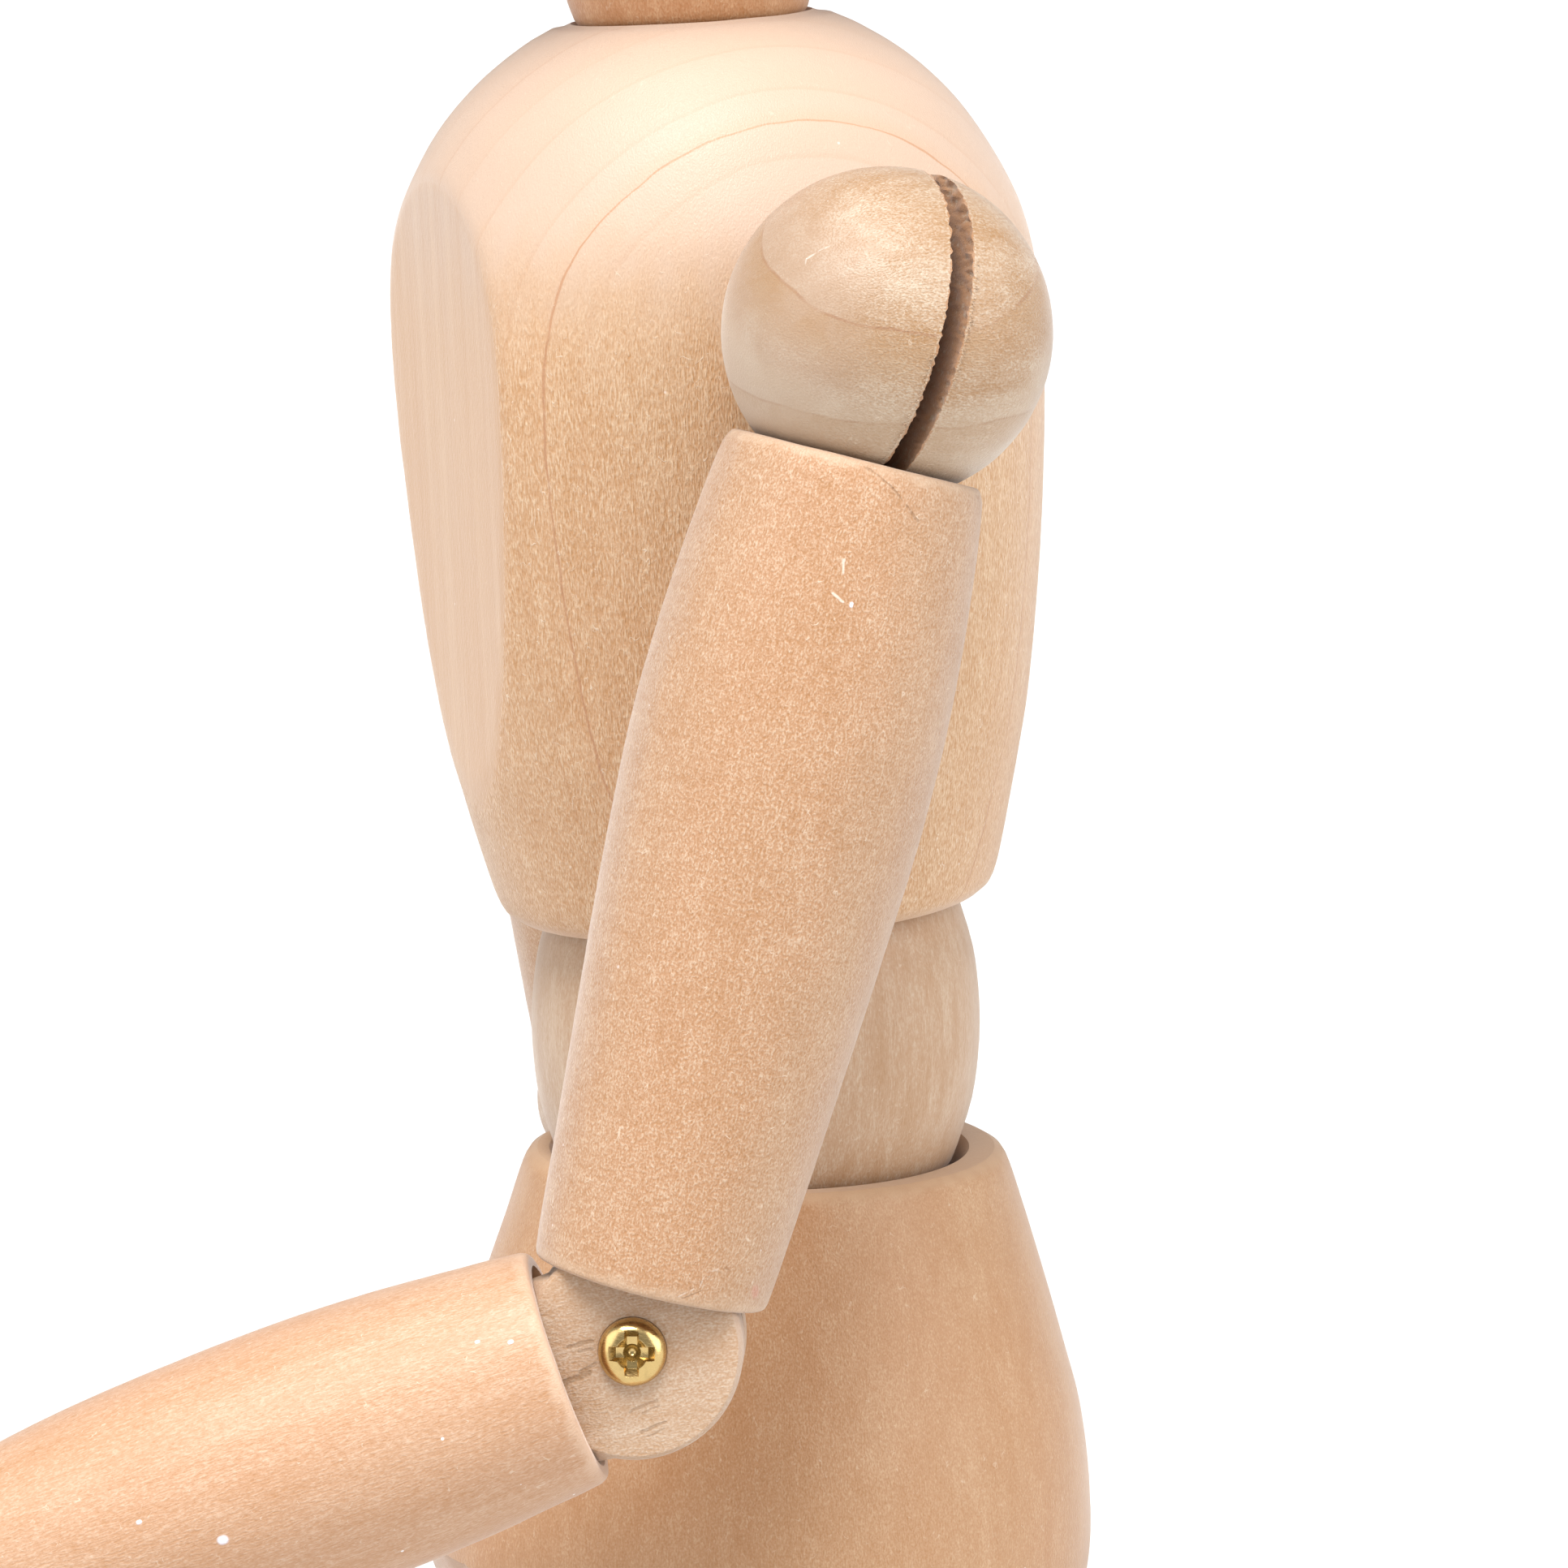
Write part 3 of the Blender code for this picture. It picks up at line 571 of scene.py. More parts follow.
def wood(name, tone, fine, fleck, streak, blotch, grain=(0, 0, 0), curl=0.0, warm=0.5, fuzz=0.2,
         faces=None, slot=None, shade_and_grime=None, sanded_and_highlight=None, planed=None, rings=None, sheets=(),
         rims=(), marks=(), specks=0.35, seed=0, rough=0.5):
    """Fine pale hardwood. All sizes are in mm.

    fine, fleck, streak, blotch and curl are the strengths of the texture from the smallest fibres
    up, warm of the orange clouds, fuzz of raised fibres and specks of dust. grain turns the fibres
    away from the piece's own Z axis. faces is a direction and an amount of painted sheen: a turned
    piece is more orange where it faces that way and paler where it turns across it. slot is half the
    width of a saw kerf, whose walls get painted shade. shade_and_grime is the heights over which the
    piece gets darker, painted shade where it sits in a cup with some rubbed grime, and how much.
    sanded_and_highlight is the range of heights over which the surface gets smooth and pale, and
    whitens towards the top as a painted highlight. planed is the direction of a flat cut. rings,
    sheets and marks are the values of growth_rings, growth_sheet and small_marks. rims are (height,
    reach).
    """
    g = Wood(name, tone, grain, seed)
    end = g.ramp(g.abs(g.split(g.facing)[2]), 0.40, 0.90)
    smooth = g.mul(end, 0.7)
    if sanded_and_highlight:
        bare_and_highlight = g.ramp(g.add(g.split(g.local)[2], g.spread(g.patch, 6.0)), *sanded_and_highlight)
        smooth = g.math("MAXIMUM", smooth, g.mul(bare_and_highlight, 0.75))
    if planed:
        flat = g.ramp(g.dot(g.normal, planed), 0.980, 0.997)
        smooth = g.math("MAXIMUM", smooth, g.mul(flat, 0.80))
    rise = g.sub(1.0, smooth)
    value = g.mul(g.spread(g.hair, fine), rise)
    for texture, strength, lost in ((g.grit, fleck, 0.35), (g.strand, streak, 0.6)):
        value = g.add(value, g.mul(g.spread(texture, strength), g.sub(1.0, g.mul(smooth, lost))))
    value = g.add(value, g.spread(g.patch, blotch))
    relief = g.add(g.mul(g.hair, 0.8 * fine), g.mul(g.grit, 0.7 * fleck))
    height = g.mul(relief, g.sub(1.0, g.mul(smooth, 0.7)))
    if curl:
        wave = g.noise(g.vec("MULTIPLY", g.p, (0.50, 0.50, 1.5)), 1.0, 2.0, 0.55, 1.1)
        where = g.ramp(g.noise(g.p, 0.10, 2.0), 0.36, 0.62, 0.2, 1.0)
        value = g.add(value, g.mul(g.spread(wave, curl), where))
        height = g.add(height, g.mul(wave, 0.4 * curl))

    color = g.mix(g.mul(g.ramp(g.cloud, 0.36, 0.64), warm), tone, g.orange)
    # Painted sheen: more orange where the surface faces the given way, paler where it turns across it.
    if faces:
        toward, amount = faces
        across = g.add(g.abs(g.dot(g.normal, toward)), g.spread(g.patch, 0.5))
        color = g.mix(g.mul(g.ramp(across, 0.72, 0.96), amount), color, g.orange)
        color = g.mix(g.mul(g.ramp(across, 0.70, 0.40), amount), color, g.pale)
    color = g.mix(g.math("MULTIPLY", value, -1.0, clamp=True), color, g.dark)
    color = g.mix(g.math("MULTIPLY", value, 1.0, clamp=True), color, g.light)
    color = g.mix(g.mul(smooth, 0.75), color, g.pale)
    # Painted highlight: the sanded top whitens towards its top.
    if sanded_and_highlight:
        color = g.mix(g.mul(g.mul(bare_and_highlight, bare_and_highlight), 0.75), color, tinted(tone, 0.98, 1.17, 1.62))
    if planed:
        board = g.noise(g.stretch(g.p, 0.02), 1.1, 3.0, 0.6)
        color = g.mix(g.mul(flat, 0.16), color, g.dark)
        color = g.mix(g.mul(g.mul(g.ramp(board, 0.50, 0.64), flat), 0.16), color, g.dark)
        color = g.mix(g.mul(g.mul(g.ramp(board, 0.50, 0.36), flat), 0.14), color, g.light)

    if rings:
        color = growth_rings(g, color, end, *rings)
    for sheet in sheets:
        color = growth_sheet(g, color, *sheet)
    color, height = raised_fibres(g, color, height, g.mul(rise, fuzz))
    color = dust(g, color, specks)
    if rims:
        color = worn_rims(g, color, rims)
    # Painted shade above the rim of the cup the piece sits in, with some rubbed grime.
    if shade_and_grime:
        color = cup_shade_and_grime(g, color, *shade_and_grime)
    # Painted shade inside the saw kerf.
    if slot:
        color = kerf_shade_and_crumbs(g, color, slot)
    if marks:
        color, height = small_marks(g, color, height, marks)

    gloss = g.ramp(g.grit, 0.3, 0.7, rough - 0.06, rough + 0.08)
    g.surface({"Base Color": color, "Roughness": gloss, "Specular IOR Level": 0.5,
               "Sheen Weight": 0.36, "Sheen Roughness": 0.35})
    g.bump(height, 0.5, 0.04 * MM)
    return g.mat


def metal(name, tone, rough, scratch=0.06, tarnish=0.0, recess=0.0):
    """Drawn or polished metal; recess is the radius about X within which sloped faces are grimy."""
    g = Graph(name)
    p, normal = g.object_mm()
    shade_and_grime = g.noise(p, 1.9, 4.0, 0.6)
    hair = g.noise(g.stretch(p, 9), 3.0, 3.0, 0.6)
    dull = tuple(c * 0.72 for c in tone)
    color = g.mix(g.mul(g.ramp(shade_and_grime, 0.45, 0.75), 0.35 + tarnish), tone, dull)
    if recess:
        from_axis = g.vec("LENGTH", g.vec("MULTIPLY", p, (0, 1, 1)))
        tilt = g.abs(g.split(normal)[0])
        inside = g.mul(g.ramp(from_axis, recess, recess * 0.85), g.ramp(tilt, 0.93, 0.70))
        color = g.mix(g.mul(inside, g.ramp(shade_and_grime, 0.3, 0.6, 0.15, 0.5)), color, (0.28, 0.20, 0.09))
    gloss = g.ramp(hair, 0.3, 0.75, rough - scratch, rough + scratch * 1.6)
    g.surface({"Base Color": color, "Metallic": 1.0, "Roughness": gloss})
    g.bump(hair, 0.25, 0.01 * MM)
    return g.mat


# ------ tones
CREAM = hexcolor(195, 158, 122)
TAN = hexcolor(184, 148, 113)
BALL = hexcolor(173, 145, 118)
PINK = hexcolor(179, 143, 112)
ORANGE = hexcolor(175, 135, 99)
GREYISH = hexcolor(178, 148, 120)
PALE = hexcolor(188, 150, 120)
KNUCKLE = hexcolor(182, 153, 127)
HONEY = hexcolor(184, 136, 96)
WHITE = (1.0, 1.0, 1.0, 1.0)

BRASS = metal("polished_brass", hexcolor(214, 184, 124), 0.22, 0.05, 0.1, recess=1.3)
STEEL = metal("drawn_steel", hexcolor(190, 190, 192), 0.26, 0.08)

# ------ growth lines and small marks, in the piece's own frame (mm)
# (direction across the line, distance, half width, strength, width of the dark side)
BALL_LINES = (
    ((0.48, -0.28, 0.83), 4.72, 0.10, 0.7, 3.6),
    ((0.19, -0.23, 0.95), -2.7, 0.09, 0.4, 1.6),
)
# Marks are (kind, start, end, half width, strength).
BALL_MARKS = (
    ("pale", (4.2, -6.9, 2.5), (4.8, -6.1, 3.4), 0.09, 0.4),
    ("pale", (4.2, -6.9, 2.5), (4.4, -7.0, 1.2), 0.08, 0.4),
)
ARM_MARKS = (
    ("dark", (6.4, -2.0, -6.9), (6.9, -0.5, -7.6), 0.09, 0.45),
    ("dark", (6.9, -0.5, -7.6), (7.0, 1.2, -8.9), 0.09, 0.45),
    ("pale", (7.1, -2.2, -11.7), (7.3, -2.1, -12.5), 0.10, 0.5),
    ("pale", (7.2, -2.4, -13.4), (7.4, -1.9, -13.7), 0.10, 0.5),
    ("dust", (7.5, -1.4, -13.7), (7.5, -1.4, -13.8), 0.13, 1.0),
    ("pale", (6.1, -0.8, -49.9), (6.2, -0.2, -49.4), 0.07, 0.35),
    ("pale", (6.2, 0.1, -49.3), (6.3, 0.2, -48.7), 0.06, 0.3),
    ("pale", (6.3, 0.3, -48.4), (6.3, 0.8, -48.1), 0.06, 0.25),
    # Painted shadow under the peeled shavings at the lower rim.
    ("dark", (6.1, -0.6, -50.0), (6.2, 0.3, -49.4), 0.08, 0.35),
    ("red", (4.9, 3.7, -49.2), (5.1, 3.6, -49.0), 0.40, 0.35),
)
FOREARM_MARKS = (
    ("dust", (6.9, 1.6, -22.5), (6.9, 1.6, -22.6), 0.32, 1.0),
    ("dust", (6.9, -0.7, -26.2), (6.9, -0.7, -26.3), 0.15, 1.0),
    ("dust", (5.7, -3.4, -7.0), (5.7, -3.4, -7.1), 0.13, 0.9),
    ("dust", (5.8, -2.8, -5.4), (5.8, -2.8, -5.5), 0.15, 0.9),
)
# Dents from the screwdriver and short cuts below it: (y, z, along y, along z, half width, strength)
ELBOW_CUTS = (
    (0.4, -3.9, -0.1, 1.4, 0.24, 0.55), (0.1, -2.9, -0.15, 0.9, 0.16, 0.4),
    (-1.3, -3.0, 0.1, 1.2, 0.17, 0.4), (-0.9, -2.6, 0.1, 0.7, 0.12, 0.35),
    (2.9, -1.2, -0.1, 1.5, 0.12, 0.4), (3.2, -0.6, -0.1, 0.9, 0.10, 0.35),
    (4.1, -1.0, -0.1, 1.3, 0.11, 0.4), (4.4, -0.7, -0.1, 0.8, 0.09, 0.3),
)


def elbow_marks(side):
    x = side * ELBOW["half"]
    return [("dark", (x, y, z), (x, y + dy, z + dz), *look) for y, z, dy, dz, *look in ELBOW_CUTS]


# ------ trunk
def torso_shape(a, radius, z):
    """The turned body, its flat front and the two shallow shoulder seats."""
    r = radius
    ux, uy = math.cos(a), math.sin(a)
    if uy < -0.2 and radius > 9:
        flat = TORSO_FACET / -uy
        r = soft_min(r, flat, 0.35)
    dz = z - WAIST_GAP - SHOULDER_LEVEL
    seat = SHOULDER_BALL + GAP
    reach = seat * seat - dz * dz
    if reach > 0 and radius > 9:
        for side in (1, -1):
            along = side * SHOULDER_X * ux
            inside = along * along - SHOULDER_X**2 + reach
            if along > 0 and inside > 0:
                r = soft_min(r, along - math.sqrt(inside), 0.05)
    return r


def soft_min(a, b, k):
    h = max(k - abs(a - b), 0.0) / k
    return min(a, b) - h * h * k * 0.25


def torso_piece():
    z = WAIST_GAP
    top = z + TORSO_HEIGHT
    seat, neck_seat = WAIST_BALL + GAP, NECK_BALL + GAP
    neck_z = top + NECK_GAP
    rim = math.sqrt(seat**2 - z * z)
    neck_rim = math.sqrt(neck_seat**2 - NECK_GAP**2)
    rows = [(0, z + 12.0), (1.6, z + 12.0)] + arc_rows(seat, 0.0, 1.6, rim, 16, 1)
    side = [(13.2, z), (13.65, z + 0.35), (14.0, z + 1.1), (14.35, z + 2.3)]
    side += [(r, z + h) for r, h in (
        (15.25, 6.0), (16.25, 10.5), (17.2, 17.0), (17.95, 24.5), (18.25, 30.0), (18.1, 34.0),
        (17.4, 37.6), (16.0, 40.8), (14.1, 43.8), (11.75, 46.2), (9.2, 48.0), (7.7, 48.75))]
    rows += [(rim + 0.4, z)] + smooth_rows(side, 0.4)
    rows += [(7.1, top - 0.18)] + arc_rows(neck_seat, neck_z, neck_rim, 1.6, 10, -1)
    rows += [(1.6, top - 12.0), (0, top - 12.0)]
    obj = lathe("torso_body", rows, 288, shape=torso_shape)
    return wobble(obj, 0.03, 5.0, 1)


def ball_with_bore(name, radius, belt, bore, segments, steps):
    """A turned ball with a reduced belt (rows of radius, height) and a bore on its axis."""
    start, stop = math.asin((bore + 0.35) / radius), math.asin(belt[0][0] / radius)
    cap = []
    for i in range(steps + 1):
        a = start + (stop - start) * i / steps
        cap.append((radius * math.sin(a), -radius * math.cos(a)))
    low = cap + [(r, -z) for r, z in belt[1:]]
    whole = low + [(r, -z) for r, z in reversed(low[:-1])]
    curve = smooth_rows(whole, radius * 0.06)
    end = math.sqrt(radius**2 - bore**2) - 0.25
    rows = [(bore, 0), (bore, -end)] + curve + [(bore, end)]
    return lathe(name, rows, segments, closed=True)


def pelvis_piece():
    """In the frame of the pelvis rim's centre."""
    seat = WAIST_BALL + GAP + 0.06
    rim = math.sqrt(seat**2 - WAIST_GAP**2)
    side = [(6.0, -33.99), (10.5, -33.8), (13.4, -32.7), (16.0, -30.3), (17.8, -27.4), (18.75, -23.5)]
    side += [(18.75, -19.5), (18.1, -15.0), (17.1, -11.5), (15.9, -7.6), (14.6, -3.6)]
    side += [(13.75, -1.0), (13.35, -0.25), (12.9, 0.0)]
    rows = [(0, -34.0), (3.0, -34.0)]
    for r, h in smooth_rows(side, 0.45):
        rows.append((r, h, 1, 1, PELVIS_SKEW * min(1.0, max(0.0, 1.25 + h / 16.0))))
    rows += arc_rows(seat, WAIST_GAP, rim, 1.6, 16, -1) + [(1.6, -14.0), (0, -14.0)]
    obj = lathe("pelvis_body", rows, 160)
    hip = HIP_Z - (WAIST_Z - WAIST_GAP)
    relief = box("relief", (-30, -40, -60), (30, 0, 40))
    relief.data.transform(move(0, -18.6, -21.7) @ turn(27, "X") @ move(0, 0, -40))
    hole = bar("hole", ROD_RADIUS + 0.12, -60, ROD_TOP + GAP - (WAIST_Z - WAIST_GAP), 48)
    hole.data.transform(move(0, -FIGURE_Y, 0))
    tools = [relief, hole]
    for x in (-HIP_X, HIP_X):
        seat_ball = lathe("seat", sphere_rows(HIP_BALL + GAP, 32), 64)
        seat_ball.data.transform(move(x, 0, hip))
        notch = leg_notch(math.copysign(1, x))
        notch.data.transform(move(x, 0, hip))
        tools += [seat_ball, notch]
    bore = bar("bore", 1.6, -9, 9, 24, "X")
    bore.data.transform(move(0, 0, hip))
    tools.append(bore)
    carve(obj, "DIFFERENCE", tools)
    return bevel(obj, 0.35, 3, 28)


def leg_notch(side):
    rays = [(angle, 10.3) for angle in range(-60, 0, 5)] + [(-12, 12.0), (-8, 30.0), (45, 45.0)]
    rays += [(95, 30.0), (102, 19.0), (110, 14.5), (118, 11.8), (127, 10.3)]
    section = [(0.0, 0.0)]
    for angle, reach in rays:
        a = math.radians(angle)
        section.append((-reach * math.sin(a), -reach * math.cos(a)))
    return loft("notch", [[(side * x, y, z) for y, z in section] for x in (-9.2, 16.0)])


def head_piece():
    seat = NECK_BALL + GAP
    rim = math.sqrt(seat**2 - NECK_GAP**2)
    outer = [(7.35, 0.0), (7.75, 0.12), (8.4, 0.55), (9.4, 1.5), (11.2, 4.2), (12.7, 8.5), (13.9, 14.0)]
    outer += [(14.4, 20.0), (13.9, 25.5), (12.2, 30.3), (9.2, 33.9), (4.8, 36.0), (1.6, 36.47)]
    rows = [(0, 12.0), (1.6, 12.0)] + arc_rows(seat, 0.0, 1.6, rim, 10, 1)
    for r, z in smooth_rows(outer, 0.45):
        blend = min(1.0, max(0.0, z / 13.0)) ** 1.3
        rows.append((r, z + NECK_GAP, 1 - 0.09 * blend, 1 + 0.05 * blend, -0.9 * blend))
    rows.append((0, HEAD_HEIGHT + NECK_GAP, 1, 1, -0.9))
    return wobble(lathe("head_egg", rows, 144), 0.03, 6.0, 2)


# ------ limbs
def limb_piece(name, top, bottom, side, seed):
    """A turned limb with a seat at each end: (edge, seat radius, seat centre, bore, bore depth)."""
    rows = []
    for edge, seat, centre, bore, depth in (top, bottom):
        rim = math.sqrt(seat * seat - (edge - centre) ** 2)
        facing = -1 if edge > centre else 1
        half = [(0, -depth), (bore, -depth)] + arc_rows(seat, -centre, bore, rim, 14, facing)
        rows.append(half)
    outer = smooth_rows([(r, -d) for r, d in side], 0.5)
    whole = rows[0] + outer + list(reversed(rows[1]))
    first = len(rows[0])
    last = first + len(outer) - 1
    whole = rounded(whole, last, 0.22)
    whole = rounded(whole, first, 0.22)
    return wobble(lathe(name, whole), 0.03, 4.0, seed)


def kerf_wall(x, z, radius, coarse_seed, fine_seed, torn):
    """How far a wall of the kerf lies from the middle: uneven, and more so at the torn lips."""
    rough = torn if abs(math.hypot(x, z) - radius) < 0.9 else 0.06
    coarse = noise.noise(Vector((x * 1.1, z * 2.6, coarse_seed)))
    return KERF / 2 + rough * (coarse + 0.8 * noise.noise(Vector((x * 3, z * 5, fine_seed))))


def kerfed_ball(name, radius, side, seed):
    """A ball with a rough saw kerf, open to its lower, outer and upper side."""
    obj = lathe(name, sphere_rows(radius, 72), 144)
    wobble(obj, 0.03, 4.0, seed)
    steps, levels = 34, 220
    low, high = -2.4, radius + 1.5
    across = [low + (high - low) * j / steps for j in range(steps + 1)]
    rings = []
    for i in range(levels + 1):
        z = -radius - 1.5 + (2 * radius + 3) * i / levels
        ring = [(side * x, kerf_wall(x, z, radius, seed, seed, 0.13), z) for x in across]
        for x in reversed(across):
            ring.append((side * x, -kerf_wall(x, z, radius, seed + 9, seed + 5, 0.16), z))
        rings.append(ring)
    kerf = loft("kerf", rings)
    hole = bar("hole", 0.8, -3.8, 3.8, 24, "Y")
    return carve(obj, "DIFFERENCE", [kerf, hole])


def knuckle_piece(name, size, side, up, edge):
    """Half a knuckle: a thick disc with a square tab to the limb's rim, and its round shank."""
    disc, trim, half, shank, drop = size["disc"], size["ball"], size["half"], size["shank"], size["end"]
    low, high = sorted((side * GAP / 2, side * half))
    obj = bar(name, disc, low, high, 128, "X")
    carve(obj, "INTERSECT", [lathe("trim", sphere_rows(trim + 0.2, 64), 128)])
    start = trim + GAP + 0.1
    near, far = sorted((side * (GAP / 2 + 0.02), side * (half - 0.015)))
    wide = disc - 0.75
    tab = box("tab", (near, -wide, 0.6), (far, wide, edge + 0.2))
    carve(tab, "INTERSECT", [lathe("cup", sphere_rows(trim + GAP - 0.08, 64), 128)])
    neck = bar("neck", shank - 0.25, 1.5, start + 0.5, 32)
    near, far = sorted((side * (GAP / 2 + 0.12), side * (half + 1)))
    carve(neck, "INTERSECT", [box("keep", (near, -8, 0), (far, 8, 20))])
    peg = lathe("peg", [(shank, start), (shank, drop - 0.6), (shank - 0.6, drop)], 48)
    if up < 0:
        for part in (neck, peg, tab):
            part.data.transform(turn(180, "X"))
    carve(obj, "UNION", [tab, neck, peg])
    reach = sorted((side * -1.0, side * (2.9 if up > 0 else half + 1)))
    tools = [bar("bore", 1.3, *reach, 32, "X")]
    if up < 0:
        sunk = lathe("sunk", [(size["head"] + 0.03, half - 0.18), (size["head"] + 0.06, half + 1)], 96)
        sunk.data.transform(turn(90 * side, "Y"))
        tools.append(sunk)
    carve(obj, "DIFFERENCE", tools)
    return bevel(obj, 0.28, 4, 32)


def torn_kerf_edges(obj, radius, side):
    """Fibres along the lips of the saw kerf, leaning away from it."""
    draw = random.Random(33)
    roots = []
    for lip, low, high, count in ((-1, -6.3, -0.5, 60), (1, -2.0, 4.5, 50)):
        for i in range(count):
            z = low + (high - low) * i / count
            y = lip * (KERF / 2 + draw.uniform(0.10, 0.22))
            x = math.sqrt(radius**2 - y * y - z * z)
            roots.append(((side * (x - 0.03), y, z), (side * x * 0.06, lip * 0.8, z * 0.06 - 0.3)))
    return splinters(obj, roots, 0.27, 34)


def peeled_rim(obj, side):
    """Loose shavings near the lower rim of the upper arm."""
    roots = []
    for i in range(9):
        y, z = -0.9 + 0.22 * i, -49.9 + 0.24 * i
        r = 6.17 + 0.012 * i
        roots.append(((side * math.sqrt(r * r - y * y), y, z), (0, 0.7, 0.5)))
    return splinters(obj, roots, 0.8, 35)


def screw_piece(name, size, side):
    """A pan head with a tapered four-wing recess, on X."""
    start, r = size["half"] - 0.12, size["head"]
    rows = [(0, -2.5), (0.7, -2.5), (1.0, -2.1), (1.0, start)]
    curve = [(r - 0.12, start), (r, start + 0.14), (r, start + 0.42), (r - 0.10, start + 0.72)]
    curve += [(r - 0.38, start + 1.0), (r - 0.8, start + 1.16), (r - 1.25, start + 1.2)]
    obj = lathe(name, rows + smooth_rows(curve, 0.08) + [(0, start + 1.21)], 96)
    arm = r * 0.76
    top, deep = start + 1.3, start + 0.28
    tools = []
    for angle in (14, 104):
        rings = []
        for z, length, width in ((deep + 0.30, arm * 0.62, 0.26), (top, arm, 0.40)):
            rings.append(rectangle((-length, -width), (length, width), z))
        wing = loft("wing", rings)
        wing.data.transform(turn(angle, "Z"))
        tools.append(wing)
    pit = [(0, deep - 0.25), (0.30, deep + 0.05), (0.62, deep + 0.55), (0.90, top)]
    tools.append(lathe("pit", pit, 48))
    carve(obj, "DIFFERENCE", tools)
    bevel(obj, 0.035, 2, 34)
    obj.data.transform(turn(90 * side, "Y"))
    return obj


def hand_piece(name):
    """A carved mitten hand, thin across X, thumb forward."""
    seat = WRIST_BALL + GAP
    rim = math.sqrt(seat**2 - 1.8**2)
    rows = [(0, -9.0), (0.9, -9.0)] + arc_rows(seat, 0.0, 0.9, rim, 8, -1)
    # half width, height, thickness as a share of the width
    palm = [(4.55, -1.88, 1), (4.75, -2.6, 0.98), (4.9, -5.0, 0.86), (5.3, -9.0, 0.66)]
    palm += [(5.9, -13.5, 0.53), (6.0, -17.5, 0.48), (5.6, -21.5, 0.45)]
    palm += [(4.9, -25.5, 0.43), (3.9, -28.8, 0.42), (2.2, -31.0, 0.42)]
    fine = smooth_rows([(p[0], p[1]) for p in palm], 0.45)
    squeeze = smooth_rows([(p[2], p[1]) for p in palm], 0.45)
    for r, z in fine:
        rows.append((r, z, nearest(squeeze, z), 1.0))
    rows.append((0, -31.6))
    hand = lathe(name, rows, 72)
    thumb = smooth_rows([(1.3, 4.0), (1.9, 1.5), (2.0, -3.0), (1.7, -7.5), (1.2, -9.6)], 0.5)
    thumb = lathe("thumb", [(0, 4.8)] + thumb + [(0, -10.4)], 32)
    thumb.data.transform(move(0, -5.3, -10.5) @ turn(-24, "X"))
    return carve(hand, "UNION", [thumb])


def foot_piece(name):
    seat = ANKLE_BALL + GAP
    rim = math.sqrt(seat**2 - 2.0**2)
    rows = [(0, -8.5), (0.9, -8.5)] + arc_rows(seat, 0.0, 0.9, rim, 8, -1)
    # half width, height, front, back
    keys = [(5.25, -2.0, -5.25, 5.25), (5.6, -2.7, -6.2, 5.8), (5.9, -3.6, -8.2, 6.2)]
    keys += [(6.4, -5.2, -13.5, 7.4), (6.9, -7.2, -21.5, 8.6), (7.2, -9.2, -26.8, 9.4)]
    keys += [(7.2, -11.0, -28.0, 9.6), (7.0, -11.9, -27.8, 9.4), (6.6, -12.2, -27.1, 8.9)]
    width = smooth_rows([(k[0], k[1]) for k in keys], 0.35)
    front = smooth_rows([(k[2], k[1]) for k in keys], 0.35)
    back = smooth_rows([(k[3], k[1]) for k in keys], 0.35)
    for w, z in width:
        f, b = nearest(front, z), nearest(back, z)
        rows.append((w, z, 1, (b - f) / 2 / w, (f + b) / 2))
    rows.append((0, -12.2, 1, 1, -9.0))
    return lathe(name, rows, 96)


def knuckle(kind, size, side, edge, upper, lower, material):
    """Both halves of a left or right elbow or knee, and its screw; edge is the upper limb's rim."""
    s = "_l" if side > 0 else "_r"
    inner, outer = kind + "_inner", kind + "_outer"
    place(knuckle_piece(inner + "_half" + s, size, -side, 1, edge), upper, inner + s, material)
    place(knuckle_piece(outer + "_half" + s, size, side, -1, size["rim"]), lower, outer + s, material)
    screw = screw_piece(kind + "_pan_screw" + s, size, side)
    place(screw, upper, kind + "_screw" + s, BRASS, inner + s, 28)


